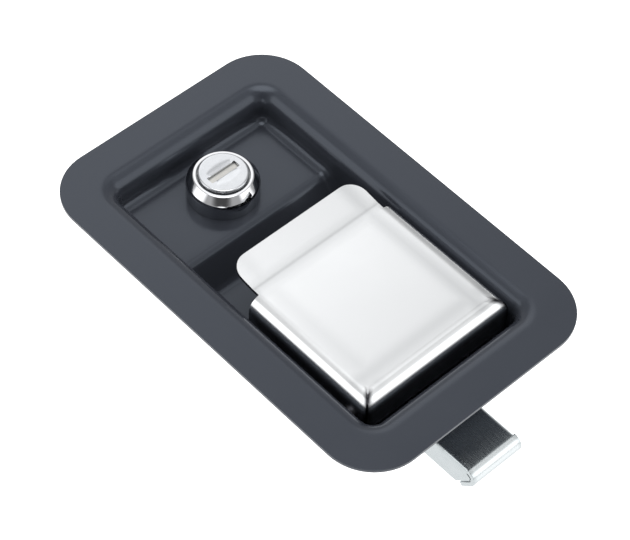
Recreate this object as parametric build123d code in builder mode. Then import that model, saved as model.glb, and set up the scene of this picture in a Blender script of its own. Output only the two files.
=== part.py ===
"""Flush paddle latch with a key lock.

A pressed pan carries a folded paddle on a pivot pin. Lifting the paddle's lip swings two arms
below the pin, which draw a spring bolt in behind the pan. A cam lock on the pan's shelf turns a
cranked cam whose finger stands behind the bolt's tail lug.

Frame: origin at the middle of the flange's back face, +Z out of the panel, +X towards the bolt.
Lengths are in millimetres and angles in degrees.
"""

import os
from math import cos, hypot, pi, radians, sin, tan

from build123d import *

# Pan
flange_length = 140.0
flange_width = 90.0
flange_corner_r = 16.5
sheet = 1.2
pan_length = 108.0
pan_width = 58.0
pan_corner_r = 3.4
pan_floor_r = 2.9
flange_bend_r = 4.4
shelf_depth = 9.2
floor_depth = 18.5
step_top_x = -24.4
step_run = 6.9
step_bend_r = 2.6
step_foot_r = 4.0

# Clamp studs on the back of the pan floor
stud_r = 2.5
stud_length = 12.0
stud_centre_x = 10.0
stud_spacing_x = 40.0
stud_spacing_y = 46.0
stud_base_r = 3.3
stud_base_height = 0.8
stud_chamfer = 0.6

# Paddle
paddle_sheet = 1.2
paddle_top = 3.0
paddle_width = 55.6
paddle_notch_x = 3.0
paddle_end_gap = 3.3
paddle_bend_r = 4.5
skirt_z = -9.0
lip_width = 48.4
lip_reach = 12.7
lip_flat = 1.6
lip_angle = 9.5
lip_crease_r = 9.0
lip_corner_r = 5.5
corner_slit = 0.5
corner_slit_top = 1.8
mitre_angle = 45.0

# Pivot
pin_r = 2.5
pin_x = 44.0
pin_z = -7.2
pin_head_r = 4.0
pin_head_height = 1.8
pin_head_round = 0.9
pin_tail = 2.4
pin_chamfer = 0.5
pin_hole_clearance = 0.06
pin_end_play = 0.3
ear_r = 5.2
retainer_r = 4.2
retainer_sheet = 0.8

# Pull lever
lever_sheet = 1.5
lever_width = 13.0
lever_arm_width = 6.0
lever_web_reach = 10.0
lever_tip_below_bolt_top = 4.6
lever_tip_r = 1.5
lever_slot_clearance = 0.7
lift_angle = 30.0

# Paddle spring
torsion_wire_r = 0.6
torsion_mean_r = 3.6
torsion_turns = 5
torsion_pitch = 1.35
torsion_inset = 1.6
torsion_seat_gap = 0.1

# Bolt
bolt_sheet = 1.4
bolt_width = 19.0
bolt_height = 9.0
bolt_reach = 6.8
bolt_gap = 0.5
bolt_travel = 8.8
nose_r = 3.2
ramp_angle = 47.0
nose_slit = 0.4
bolt_bend_r = 1.6
bolt_tail_x = 22.0
window_play = 0.3
tongue_width = 8.0
lug_depth = 7.1
lug_bend_r = 1.0

# Bolt housing
housing_sheet = 1.5
housing_side_play = 0.3
housing_under_play = 0.3
housing_back_x = 2.0
housing_front_x = 55.0
housing_bend_r = 0.9
housing_wall_top_drop = 1.0
foot_length = 13.0
foot_reach = 9.5
rivet_r = 2.0
rivet_head_r = 3.5
rivet_head_height = 1.3
rivet_head_round = 1.0
rivet_x = (11.0, 41.0)

# Bolt spring
spring_wire_r = 0.45
spring_mean_r = 3.2
spring_turns = 7
spring_seat_gap = 0.05
nib_r = 2.1
nib_length = 2.6

# Lock head
lock_x = -39.2
face_z = -0.1
cap_top_z = -1.15
cap_base_r = 11.1
cap_rim_r = 8.95
cap_skirt = 5.4
cap_rim_round = 0.5
cap_shoulder_r = 2.2
cap_wall = 0.7
cap_hole_r = 8.0
cap_play = 0.05

# Lock barrel, nut and washer
barrel_r = 9.0
barrel_across_flats = 16.0
barrel_length = 17.8
barrel_hole_play = 0.25
nut_across_flats = 22.0
nut_height = 4.0
nut_chamfer = 0.4
nut_play = 0.12
washer_r = 12.6
washer_sheet = 0.9
washer_teeth = 16
washer_tooth_depth = 1.6

# Plug
plug_head_r = 7.6
plug_head_height = 6.3
plug_r = 5.9
plug_play = 0.06
plug_edge_r = 0.6
plug_shoulder = 1.0
tail_square = 7.0
keyway_length = 8.0
keyway_width = 2.0
keyway_end = 6.2

# Wafers
wafer_count = 5
wafer_pitch = 2.6
wafer_sheet = 1.0
wafer_width = 5.0
wafer_length = 10.4
wafer_play = 0.05
wafer_rail = 1.0
wafer_first = 2.6

# Dust shutter
key_slot_length = 10.6
key_slot_width = 2.4
face_skin = 0.7
shutter_sheet = 0.4
shutter_overlap = 0.25
shutter_play = 0.1
shutter_knuckle_r = 0.5
shutter_pin_r = 0.3
shutter_pin_play = 0.03
shutter_pin_bite = 0.6
pocket_depth = 5.4

# Cam
cam_sheet = 2.0
cam_hub_r = 8.0
cam_reach = 27.0
cam_finger_width = 7.0
cam_finger_height = 8.0
cam_bend_r = 1.0
cam_play = 0.06
lock_gap = 0.8
cam_washer_r = 5.6
cam_washer_sheet = 1.0
screw_r = 2.0
screw_length = 8.0
screw_head_r = 3.8
screw_head_height = 2.5
screw_head_round = 1.25
screw_hole_play = 0.1
screw_slot_width = 1.2
screw_slot_depth = 1.1

# Levels and places that follow from the sizes above
step_drop = floor_depth - shelf_depth
floor_z = -floor_depth
floor_back_z = -floor_depth - sheet
shelf_z = -shelf_depth
shelf_back_z = -shelf_depth - sheet
pin_seat_y = pan_width / 2 + sheet + pin_end_play
paddle_end_x = pan_length / 2 - paddle_end_gap
panel_under_z = paddle_top - paddle_sheet
bolt_top_z = floor_back_z - bolt_gap
bolt_under_z = bolt_top_z - bolt_sheet
bolt_foot_z = bolt_top_z - bolt_height
nose_x = flange_length / 2 + bolt_reach - nose_r
housing_floor_z = bolt_foot_z - housing_under_play
housing_inside = bolt_width + 2 * housing_side_play
spring_z = (bolt_under_z + bolt_foot_z) / 2
barrel_end_z = shelf_z - barrel_length
cam_top_z = barrel_end_z - plug_shoulder
cam_under_z = cam_top_z - cam_sheet
hinge_x = lock_x + key_slot_width / 2 + shutter_overlap
hinge_z = face_z - face_skin - shutter_play - shutter_knuckle_r
tail_lug_x = lock_x + cam_reach + lock_gap
lever_tip_z = bolt_top_z - lever_tip_below_bolt_top


def write_piece(builder, name):
    """Labels a finished piece and writes it as its own file."""
    builder.part.label = name
    export_step(builder.part, f"parts/{name}.step")


def pan_form(grow):
    """The pan's hollow as a solid, with all its walls moved outwards by grow."""
    shelf = shelf_z - grow
    floor = floor_z - grow
    lean = grow * (hypot(step_run, step_drop) - step_run) / step_drop
    top_x = step_top_x - lean
    foot_x = top_x + step_run
    far_x = pan_length
    with BuildPart() as form:
        with BuildSketch(Plane.XY.offset(sheet)):
            RectangleRounded(pan_length + 2 * grow, pan_width + 2 * grow, pan_corner_r + grow)
        extrude(amount=sheet - floor + step_drop, dir=(0, 0, -1))
        with BuildSketch(Plane.XZ) as under:
            with BuildLine():
                Polyline(
                    (-far_x, shelf),
                    (top_x, shelf),
                    (foot_x, floor),
                    (far_x, floor),
                    (far_x, floor - 2 * step_drop),
                    (-far_x, floor - 2 * step_drop),
                    close=True,
                )
            make_face()
            fillet(under.vertices().sort_by_distance((top_x, shelf))[0], step_bend_r + sheet - grow)
            fillet(under.vertices().sort_by_distance((foot_x, floor))[0], step_foot_r + grow)
        extrude(amount=pan_width, both=True, mode=Mode.SUBTRACT)
        low = form.edges().filter_by_position(Axis.Z, floor - sheet, shelf + sheet / 2)
        across = low.filter_by(Axis.Y).filter_by_position(Axis.X, top_x - step_run, foot_x + step_run)
        fillet(low - low.filter_by(Axis.Z) - across, pan_floor_r + grow)
    return form.part


def cup_form(shrink):
    """The paddle's outside as a solid, with its top and side walls moved inwards by shrink."""
    top = paddle_top - shrink
    end_x = paddle_end_x - shrink
    bottom = pin_z - ear_r
    bend = paddle_bend_r - shrink
    with BuildPart() as form:
        with BuildSketch(Plane.YZ.offset(paddle_notch_x)) as cross:
            with Locations((0, top)):
                Rectangle(paddle_width - 2 * shrink, top - bottom, align=(Align.CENTER, Align.MAX))
            fillet(cross.vertices().group_by(Axis.Y)[-1], bend)
        extrude(amount=end_x - paddle_notch_x)
        with BuildSketch(Plane.XZ) as side:
            with Locations((end_x, top)):
                Rectangle(end_x - paddle_notch_x, top - bottom, align=(Align.MAX, Align.MAX))
            fillet(side.vertices().group_by(Axis.X)[-1].sort_by(Axis.Y)[-1], bend)
        extrude(amount=paddle_width, both=True, mode=Mode.INTERSECT)
    return form.part


def lip_form():
    """The paddle's narrower lip, creased up and rounded at its free corners."""
    crease_x = paddle_notch_x - lip_flat
    slope = Vector(-cos(radians(lip_angle)), sin(radians(lip_angle)))
    centre = Vector(crease_x, paddle_top + lip_crease_r)
    turned = Vector(-sin(radians(lip_angle)), -cos(radians(lip_angle)))
    top_bend = centre + turned * lip_crease_r
    low_bend = centre + turned * (lip_crease_r + paddle_sheet)
    run = (lip_reach - lip_flat - lip_crease_r * sin(radians(lip_angle))) / cos(radians(lip_angle))
    root_x = paddle_notch_x + paddle_sheet
    with BuildPart() as form:
        with BuildSketch(Plane.XZ):
            with BuildLine():
                Line((root_x, paddle_top), (crease_x, paddle_top))
                CenterArc((centre.X, centre.Y), lip_crease_r, -90, -lip_angle)
                Line(top_bend, top_bend + slope * run)
                Line(top_bend + slope * run, low_bend + slope * run)
                Line(low_bend + slope * run, low_bend)
                CenterArc((centre.X, centre.Y), lip_crease_r + paddle_sheet, -90, -lip_angle)
                Line((crease_x, panel_under_z), (root_x, panel_under_z))
                Line((root_x, panel_under_z), (root_x, paddle_top))
            make_face()
        extrude(amount=lip_width / 2, both=True)
        with BuildSketch(Plane.XY) as outline:
            with Locations((root_x, 0)):
                Rectangle(root_x - paddle_notch_x + lip_reach, lip_width, align=(Align.MAX, Align.CENTER))
            fillet(outline.vertices().group_by(Axis.X)[0], lip_corner_r)
        extrude(amount=paddle_top + lip_reach, mode=Mode.INTERSECT)
    return form.part


def nose_points(inset):
    """Start and end of the nose's bend and the ramp's foot, for a line inset from the outside."""
    bend_r = nose_r - inset
    out = Vector(sin(radians(ramp_angle)), -cos(radians(ramp_angle)))
    centre = Vector(nose_x, bolt_top_z - nose_r)
    bend_end = centre + out * bend_r
    drop = bend_end.Y - bolt_foot_z
    foot = bend_end - Vector(drop / tan(radians(ramp_angle)), drop)
    return centre + Vector(0, bend_r), bend_end, foot


def nose_arc(inset):
    """The nose's bend as an arc, for a line inset from the outside."""
    return CenterArc((nose_x, bolt_top_z - nose_r), nose_r - inset, 90, ramp_angle - 180)


def coil(turns, pitch, mean_r, wire_r):
    """A round wire swept along a helix about +Z, from a point on +X."""
    with BuildPart() as wire:
        with BuildLine() as path:
            Helix(pitch=pitch, height=turns * pitch, radius=mean_r)
        with BuildSketch(Plane(origin=path.line @ 0, z_dir=path.line % 0)):
            Circle(wire_r)
        sweep(path=path.line, is_frenet=True)
    return wire.part


def coil_with_legs(turns, pitch, mean_r, wire_r, start_leg, end_leg):
    """A coil about +Z whose wire runs on straight at both ends."""
    lean = pitch / (2 * pi * mean_r)
    onward = Vector(0, 1, lean)
    start = Vector(mean_r, 0, 0)
    end = Vector(mean_r, 0, turns * pitch)
    with BuildPart() as wire:
        add(coil(turns, pitch, mean_r, wire_r))
        with BuildSketch(Plane(origin=start, z_dir=onward)):
            Circle(wire_r)
        extrude(amount=-start_leg * onward.length)
        with BuildSketch(Plane(origin=end, z_dir=onward)):
            Circle(wire_r)
        extrude(amount=end_leg * onward.length)
    return wire.part


os.makedirs("parts", exist_ok=True)
pan_outside = pan_form(sheet)
pan_inside = pan_form(0)
cup_outside = cup_form(0)
cup_inside = cup_form(paddle_sheet)
lip = lip_form()
spring_start_x = housing_back_x + housing_sheet + spring_seat_gap + spring_wire_r
spring_span = bolt_tail_x - spring_seat_gap - spring_wire_r - spring_start_x
spring_coil = coil(spring_turns, spring_span / spring_turns, spring_mean_r, spring_wire_r)

# Floor slot for the lever's arms, from their rest edge to their edge at full lift
arm_half = lever_arm_width / 2
arm_swing = arm_half / cos(radians(lift_angle)) + (pin_z - floor_back_z) * tan(radians(lift_angle))
slot_start_x = pin_x - arm_swing - lever_slot_clearance
slot_end_x = pin_x + arm_half + lever_slot_clearance
slot_width = lever_width + 2 * lever_slot_clearance
rivet_y = housing_inside / 2 + housing_sheet + foot_reach / 2
rivet_places = [(x, y) for x in rivet_x for y in (-rivet_y, rivet_y)]

# Pressed pan with its flange, shelf, step and floor
with BuildPart() as tray:
    with BuildSketch():
        RectangleRounded(flange_length, flange_width, flange_corner_r)
    extrude(amount=sheet)
    add(pan_outside)
    add(pan_inside, mode=Mode.SUBTRACT)
    front_face = tray.faces().filter_by(Axis.Z).group_by(Axis.Z)[-1][0]
    fillet(front_face.inner_wires()[0].edges(), flange_bend_r + sheet)
    back_face = tray.faces().filter_by(Axis.Z).group_by(Axis.Z)[-2][0]
    fillet(back_face.inner_wires()[0].edges(), flange_bend_r)
    with BuildSketch(Plane.XY.offset(floor_z)):
        with Locations(((slot_start_x + slot_end_x) / 2, 0)):
            RectangleRounded(slot_end_x - slot_start_x, slot_width, lever_slot_clearance)
        with Locations(*rivet_places):
            Circle(rivet_r)
    extrude(amount=-2 * sheet, mode=Mode.SUBTRACT)
    with BuildSketch(Plane.XY.offset(shelf_z)):
        with Locations((lock_x, 0)):
            Circle(barrel_r + barrel_hole_play)
            Rectangle(
                barrel_across_flats + 2 * barrel_hole_play, 3 * barrel_r, mode=Mode.INTERSECT
            )
    extrude(amount=-2 * sheet, mode=Mode.SUBTRACT)
    with BuildSketch(Plane.XZ):
        with Locations((pin_x, pin_z)):
            Circle(pin_r + pin_hole_clearance)
    extrude(amount=pan_width, both=True, mode=Mode.SUBTRACT)
write_piece(tray, "tray")

# Four weld studs on the back of the floor, for a clamp bar behind the panel
with BuildPart() as mounting_studs:
    with BuildSketch(Plane.XY.offset(floor_back_z)):
        with Locations((stud_centre_x, 0)):
            with GridLocations(stud_spacing_x, stud_spacing_y, 2, 2):
                Circle(stud_base_r)
    extrude(amount=-stud_base_height)
    with BuildSketch(Plane.XY.offset(floor_back_z)):
        with Locations((stud_centre_x, 0)):
            with GridLocations(stud_spacing_x, stud_spacing_y, 2, 2):
                Circle(stud_r)
    extrude(amount=-stud_length)
    chamfer(mounting_studs.edges().group_by(Axis.Z)[0], stud_chamfer)
write_piece(mounting_studs, "mounting_studs")

# Folded paddle with its lip and pivot ears
with BuildPart() as paddle:
    add(cup_outside)
    add(cup_inside, mode=Mode.SUBTRACT)
    with BuildSketch(Plane.XZ):
        with Locations((paddle_end_x, skirt_z)):
            Rectangle(paddle_end_x - paddle_notch_x, skirt_z - pin_z + ear_r, align=(Align.MAX, Align.MAX))
        with Locations((pin_x, pin_z)):
            Circle(ear_r, mode=Mode.SUBTRACT)
        with Locations((pin_x, skirt_z)):
            Rectangle(2 * ear_r, skirt_z - pin_z, align=(Align.CENTER, Align.MAX), mode=Mode.SUBTRACT)
    extrude(amount=paddle_width, both=True, mode=Mode.SUBTRACT)
    for side in (-1, 1):
        corner = (paddle_end_x, side * paddle_width / 2, corner_slit_top)
        with Locations(Location(corner, (0, 0, mitre_angle * side))):
            Box(
                2 * paddle_bend_r,
                corner_slit,
                corner_slit_top - skirt_z,
                align=(Align.CENTER, Align.CENTER, Align.MAX),
                mode=Mode.SUBTRACT,
            )
    add(lip)
    with BuildSketch(Plane.XZ):
        with Locations((pin_x, pin_z)):
            Circle(pin_r + pin_hole_clearance)
    extrude(amount=paddle_width, both=True, mode=Mode.SUBTRACT)
write_piece(paddle, "paddle")

# Folded bracket under the paddle, with two arms that draw the bolt
with BuildPart() as pull_lever:
    with BuildSketch(Plane.XZ) as lever_side:
        with BuildLine():
            Polyline(
                (pin_x - arm_half - lever_web_reach, panel_under_z),
                (paddle_end_x - paddle_bend_r, panel_under_z),
                (pin_x + arm_half, pin_z + arm_half),
                (pin_x + arm_half, lever_tip_z),
                (pin_x - arm_half, lever_tip_z),
                (pin_x - arm_half, pin_z - arm_half),
                (pin_x - arm_half - lever_web_reach, panel_under_z - 2 * lever_sheet),
                close=True,
            )
        make_face()
        fillet(lever_side.vertices().group_by(Axis.Y)[0], lever_tip_r)
    extrude(amount=lever_width / 2, both=True)
    fillet(pull_lever.edges().filter_by(Axis.X).group_by(Axis.Z)[-1], lever_sheet)
    with BuildSketch(Plane.YZ.offset(pin_x)):
        with Locations((0, panel_under_z - lever_sheet)):
            Rectangle(
                lever_width - 2 * lever_sheet,
                panel_under_z - lever_tip_z,
                align=(Align.CENTER, Align.MAX),
            )
    extrude(amount=lever_web_reach + lever_arm_width, both=True, mode=Mode.SUBTRACT)
    with BuildSketch(Plane.XZ):
        with Locations((pin_x, pin_z)):
            Circle(pin_r + pin_hole_clearance)
    extrude(amount=lever_width, both=True, mode=Mode.SUBTRACT)
write_piece(pull_lever, "pull_lever")

# Headed pivot pin across the pan
with BuildPart() as pivot_pin:
    with BuildSketch(Plane.XZ.offset(pin_seat_y)):
        with Locations((pin_x, pin_z)):
            Circle(pin_head_r)
    extrude(amount=pin_head_height)
    fillet(pivot_pin.edges().group_by(Axis.Y)[0], pin_head_round)
    with BuildSketch(Plane.XZ.offset(pin_seat_y)):
        with Locations((pin_x, pin_z)):
            Circle(pin_r)
    extrude(amount=-(2 * pin_seat_y + pin_tail))
    chamfer(pivot_pin.edges().group_by(Axis.Y)[-1], pin_chamfer)
write_piece(pivot_pin, "pivot_pin")

# Push-on clip with three sprung tongues, on the pin's plain end
with BuildPart() as pin_retainer:
    with BuildSketch(Plane.XZ.offset(-pin_seat_y)):
        with Locations((pin_x, pin_z)):
            Circle(retainer_r)
            Circle(pin_r + pin_hole_clearance, mode=Mode.SUBTRACT)
            with PolarLocations(pin_r + retainer_sheet, 3):
                Rectangle(2 * retainer_sheet, retainer_sheet, mode=Mode.SUBTRACT)
    extrude(amount=-retainer_sheet)
write_piece(pin_retainer, "pin_retainer")

# Torsion spring beside the lever: one leg up to the panel's bend, one down to the pan's floor
torsion_y = lever_width / 2 + torsion_inset + torsion_wire_r
leg_x = pin_x + torsion_mean_r
inner_bend_r = paddle_bend_r - paddle_sheet
leg_into_bend = leg_x + torsion_wire_r - (paddle_end_x - paddle_bend_r)
leg_top_z = panel_under_z - inner_bend_r + (inner_bend_r**2 - leg_into_bend**2) ** 0.5 - torsion_seat_gap
torsion_coil = coil_with_legs(
    torsion_turns,
    torsion_pitch,
    torsion_mean_r,
    torsion_wire_r,
    leg_top_z - pin_z,
    pin_z - floor_z - torsion_seat_gap,
)
with BuildPart() as paddle_spring:
    with Locations(Plane(origin=(pin_x, torsion_y, pin_z), x_dir=(1, 0, 0), z_dir=(0, 1, 0))):
        add(torsion_coil)
write_piece(paddle_spring, "paddle_spring")

# Spring bolt: channel with a rounded nose and ramp, a window for the arms and a tail lug
side_top, side_bend, side_foot = nose_points(bolt_sheet + nose_slit)
out_top, out_bend, out_foot = nose_points(0)
in_top, in_bend, in_foot = nose_points(bolt_sheet)
window_start_x = pin_x - arm_half - window_play
window_end_x = pin_x + arm_half + bolt_travel + lever_slot_clearance
lug_foot_z = bolt_top_z - lug_depth
lug_out_r = lug_bend_r + bolt_sheet
with BuildPart() as bolt:
    with BuildSketch(Plane.XZ):
        with BuildLine():
            Polyline((bolt_tail_x, bolt_foot_z), (bolt_tail_x, bolt_top_z), (nose_x, bolt_top_z), side_top)
            nose_arc(bolt_sheet + nose_slit)
            Polyline(side_bend, side_foot, (bolt_tail_x, bolt_foot_z))
        make_face()
    extrude(amount=bolt_width / 2, both=True)
    fillet(bolt.edges().filter_by(Axis.X).group_by(Axis.Z)[-1], bolt_bend_r)
    with BuildSketch(Plane.YZ.offset(bolt_tail_x)):
        with Locations((0, bolt_under_z)):
            Rectangle(bolt_width - 2 * bolt_sheet, bolt_height, align=(Align.CENTER, Align.MAX))
    extrude(amount=flange_length, mode=Mode.SUBTRACT)
    with BuildSketch(Plane.XZ):
        with BuildLine():
            nose_arc(0)
            Polyline(out_bend, out_foot, in_foot, in_bend)
            nose_arc(bolt_sheet)
            Line(in_top, out_top)
        make_face()
    extrude(amount=bolt_width / 2, both=True)
    with BuildSketch(Plane.XY.offset(bolt_top_z)):
        with Locations(((window_start_x + window_end_x) / 2, 0)):
            Rectangle(window_end_x - window_start_x, slot_width)
    extrude(amount=-bolt_sheet, mode=Mode.SUBTRACT)
    with BuildSketch(Plane.XZ) as tongue:
        with BuildLine():
            Polyline(
                (bolt_tail_x, bolt_top_z),
                (tail_lug_x, bolt_top_z),
                (tail_lug_x, lug_foot_z),
                (tail_lug_x + bolt_sheet, lug_foot_z),
                (tail_lug_x + bolt_sheet, bolt_under_z),
                (bolt_tail_x, bolt_under_z),
                close=True,
            )
        make_face()
        fillet(tongue.vertices().group_by(Axis.X)[0].sort_by(Axis.Y)[-1], lug_out_r)
        fillet(tongue.vertices().sort_by_distance((tail_lug_x + bolt_sheet, bolt_under_z))[0], lug_bend_r)
    extrude(amount=tongue_width / 2, both=True)
    with BuildSketch(Plane.YZ.offset(bolt_tail_x)):
        with Locations((0, bolt_foot_z)):
            Rectangle(
                bolt_width - bolt_sheet,
                bolt_height - bolt_sheet - nose_slit,
                align=(Align.CENTER, Align.MIN),
            )
    extrude(amount=bolt_sheet)
    with BuildSketch(Plane.YZ.offset(bolt_tail_x)):
        with Locations((0, spring_z)):
            Circle(nib_r)
    extrude(amount=-nib_length)
write_piece(bolt, "bolt")

# Folded guide bracket under the pan floor
housing_out = housing_inside + 2 * housing_sheet
housing_bottom_z = housing_floor_z - housing_sheet
spring_seat_x = housing_back_x + housing_sheet
with BuildPart() as bolt_housing:
    with BuildSketch(Plane.YZ.offset(housing_back_x)) as channel:
        with Locations((0, housing_bottom_z)):
            Rectangle(housing_out, floor_back_z - housing_bottom_z, align=(Align.CENTER, Align.MIN))
        fillet(channel.vertices().group_by(Axis.Y)[0], housing_bend_r + housing_sheet)
    extrude(amount=housing_front_x - housing_back_x)
    with BuildSketch(Plane.YZ.offset(spring_seat_x)) as hollow:
        with Locations((0, housing_floor_z)):
            Rectangle(housing_inside, floor_back_z - housing_floor_z, align=(Align.CENTER, Align.MIN))
        fillet(hollow.vertices().group_by(Axis.Y)[0], housing_bend_r)
    extrude(amount=housing_front_x - spring_seat_x, mode=Mode.SUBTRACT)
    with BuildSketch(Plane.YZ.offset(housing_back_x)):
        with Locations((0, bolt_under_z - housing_wall_top_drop)):
            Rectangle(housing_out, bolt_height, align=(Align.CENTER, Align.MIN))
    extrude(amount=housing_sheet, mode=Mode.SUBTRACT)
    with BuildSketch(Plane.XY.offset(floor_back_z)):
        with Locations(*[(x, 0) for x in rivet_x]):
            Rectangle(foot_length, housing_out + 2 * foot_reach)
            Rectangle(foot_length, housing_out, mode=Mode.SUBTRACT)
        with Locations(*rivet_places):
            Circle(rivet_r, mode=Mode.SUBTRACT)
    extrude(amount=-housing_sheet)
    foot_corners = bolt_housing.edges().filter_by(Axis.Z).filter_by_position(
        Axis.Z, floor_back_z - housing_sheet, floor_back_z
    )
    fillet(foot_corners.group_by(Axis.Y)[0] + foot_corners.group_by(Axis.Y)[-1], housing_sheet)
    with BuildSketch(Plane.YZ.offset(spring_seat_x)):
        with Locations((0, spring_z)):
            Circle(nib_r)
    extrude(amount=nib_length)
write_piece(bolt_housing, "bolt_housing")

# Rivets through the bracket's feet and the pan floor
with BuildPart() as housing_rivets:
    with BuildSketch(Plane.XY.offset(floor_z)):
        with Locations(*rivet_places):
            Circle(rivet_r)
    extrude(amount=-sheet - housing_sheet)
    with BuildSketch(Plane.XY.offset(floor_z)):
        with Locations(*rivet_places):
            Circle(rivet_head_r)
    extrude(amount=rivet_head_height)
    fillet(housing_rivets.edges().group_by(Axis.Z)[-1], rivet_head_round)
    with BuildSketch(Plane.XY.offset(floor_back_z - housing_sheet)):
        with Locations(*rivet_places):
            Circle(rivet_head_r)
    extrude(amount=-rivet_head_height)
    fillet(housing_rivets.edges().group_by(Axis.Z)[0], rivet_head_round)
write_piece(housing_rivets, "housing_rivets")

# Compression spring between the bracket's end wall and the bolt's tail wall
with BuildPart() as bolt_spring:
    with Locations(Plane(origin=(spring_start_x, 0, spring_z), x_dir=(0, 0, 1), z_dir=(1, 0, 0))):
        add(spring_coil)
write_piece(bolt_spring, "bolt_spring")

# Cast lock barrel with two flats and a head that fills the cap
lock_plane = Plane(origin=(lock_x, 0, 0), x_dir=(1, 0, 0), z_dir=(0, -1, 0))
head_inset = cap_wall + cap_play
with BuildPart() as lock_housing:
    with BuildSketch(lock_plane):
        with BuildLine():
            Polyline(
                (plug_r + plug_play, shelf_z),
                (cap_base_r - head_inset, shelf_z),
                (cap_base_r - head_inset, shelf_z + cap_skirt),
                (cap_rim_r - head_inset, cap_top_z - head_inset),
                (plug_head_r + plug_play, cap_top_z - head_inset),
                (plug_head_r + plug_play, face_z - plug_head_height - plug_play),
                (plug_r + plug_play, face_z - plug_head_height - plug_play),
                close=True,
            )
        make_face()
    revolve(axis=Axis((lock_x, 0, 0), (0, 0, 1)))
    with BuildSketch(Plane.XY.offset(shelf_z)):
        with Locations((lock_x, 0)):
            Circle(barrel_r)
            Rectangle(barrel_across_flats, 3 * barrel_r, mode=Mode.INTERSECT)
            Circle(plug_r + plug_play, mode=Mode.SUBTRACT)
    extrude(amount=-barrel_length)
write_piece(lock_housing, "lock_housing")

# Chrome cap over the lock head
with BuildPart() as lock_bezel:
    with BuildSketch(lock_plane) as cap_section:
        with BuildLine():
            Polyline(
                (cap_base_r, shelf_z),
                (cap_base_r, shelf_z + cap_skirt),
                (cap_rim_r, cap_top_z),
                (cap_hole_r, cap_top_z),
                (cap_hole_r, cap_top_z - cap_wall),
                (cap_rim_r - cap_wall, cap_top_z - cap_wall),
                (cap_base_r - cap_wall, shelf_z + cap_skirt),
                (cap_base_r - cap_wall, shelf_z),
                close=True,
            )
        make_face()
        fillet(cap_section.vertices().sort_by_distance((cap_rim_r, cap_top_z))[0], cap_rim_round)
        fillet(cap_section.vertices().sort_by_distance((cap_base_r, shelf_z + cap_skirt))[0], cap_shoulder_r)
    revolve(axis=Axis((lock_x, 0, 0), (0, 0, 1)))
write_piece(lock_bezel, "lock_bezel")

# Toothed washer and thin nut behind the shelf
with BuildPart() as lock_washer:
    with BuildSketch(Plane.XY.offset(shelf_back_z)):
        with Locations((lock_x, 0)):
            Circle(washer_r)
            Circle(barrel_r + nut_play, mode=Mode.SUBTRACT)
            with PolarLocations(washer_r, washer_teeth):
                Rectangle(2 * washer_tooth_depth, washer_tooth_depth, mode=Mode.SUBTRACT)
    extrude(amount=-washer_sheet)
write_piece(lock_washer, "lock_washer")

nut_top_z = shelf_back_z - washer_sheet
with BuildPart() as lock_nut:
    with BuildSketch(Plane.XY.offset(nut_top_z)):
        with Locations((lock_x, 0)):
            RegularPolygon(nut_across_flats / 2, 6, major_radius=False)
            Circle(barrel_r + nut_play, mode=Mode.SUBTRACT)
    extrude(amount=-nut_height)
    chamfer(lock_nut.edges().group_by(Axis.Z)[0], nut_chamfer)
write_piece(lock_nut, "lock_nut")

# Turning plug with its slotted face, keyway, wafer slots and square tail
pocket_start_x = lock_x - key_slot_width / 2 - shutter_overlap - shutter_play
pocket_end_x = hinge_x + shutter_knuckle_r + shutter_play
pocket_length = key_slot_length + 2 * shutter_overlap
pocket_floor_z = face_z - face_skin - pocket_depth
plug_step_z = face_z - plug_head_height
wafer_z = [plug_step_z - wafer_first - i * wafer_pitch for i in range(wafer_count)]
with BuildPart() as lock_plug:
    with BuildSketch(lock_plane) as plug_section:
        with BuildLine():
            Polyline(
                (0, face_z),
                (plug_head_r, face_z),
                (plug_head_r, plug_step_z),
                (plug_r, plug_step_z),
                (plug_r, cam_top_z),
                (0, cam_top_z),
                close=True,
            )
        make_face()
        fillet(plug_section.vertices().sort_by_distance((plug_head_r, face_z))[0], plug_edge_r)
    revolve(axis=Axis((lock_x, 0, 0), (0, 0, 1)))
    with BuildSketch(Plane.XY.offset(cam_top_z)):
        with Locations((lock_x, 0)):
            Rectangle(tail_square, tail_square)
    extrude(amount=-cam_sheet + cam_play)
    with BuildSketch(Plane.XY.offset(face_z)):
        with Locations((lock_x, 0)):
            Rectangle(key_slot_width, key_slot_length)
    extrude(amount=-face_skin, mode=Mode.SUBTRACT)
    with BuildSketch(Plane.XY.offset(face_z - face_skin)):
        with Locations(((pocket_start_x + pocket_end_x) / 2, 0)):
            Rectangle(pocket_end_x - pocket_start_x, pocket_length)
    extrude(amount=-pocket_depth, mode=Mode.SUBTRACT)
    with BuildSketch(Plane.XY.offset(pocket_floor_z)):
        with Locations((lock_x, 0)):
            Rectangle(keyway_width, keyway_length)
    extrude(amount=barrel_end_z + keyway_end - pocket_floor_z, mode=Mode.SUBTRACT)
    for z in wafer_z:
        with BuildSketch(Plane.XY.offset(z + wafer_play)):
            with Locations((lock_x, 0)):
                Rectangle(wafer_width + 2 * wafer_play, 2 * plug_head_r)
        extrude(amount=-wafer_sheet - 2 * wafer_play, mode=Mode.SUBTRACT)
    with BuildSketch(Plane.XZ):
        with Locations((hinge_x, hinge_z)):
            Circle(shutter_pin_r)
    extrude(amount=pocket_length / 2 + shutter_pin_bite, both=True, mode=Mode.SUBTRACT)
    with BuildSketch(Plane.XY.offset(cam_under_z)):
        with Locations((lock_x, 0)):
            Circle(screw_r + screw_hole_play)
    extrude(amount=screw_length + screw_hole_play, mode=Mode.SUBTRACT)
write_piece(lock_plug, "lock_plug")

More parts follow.
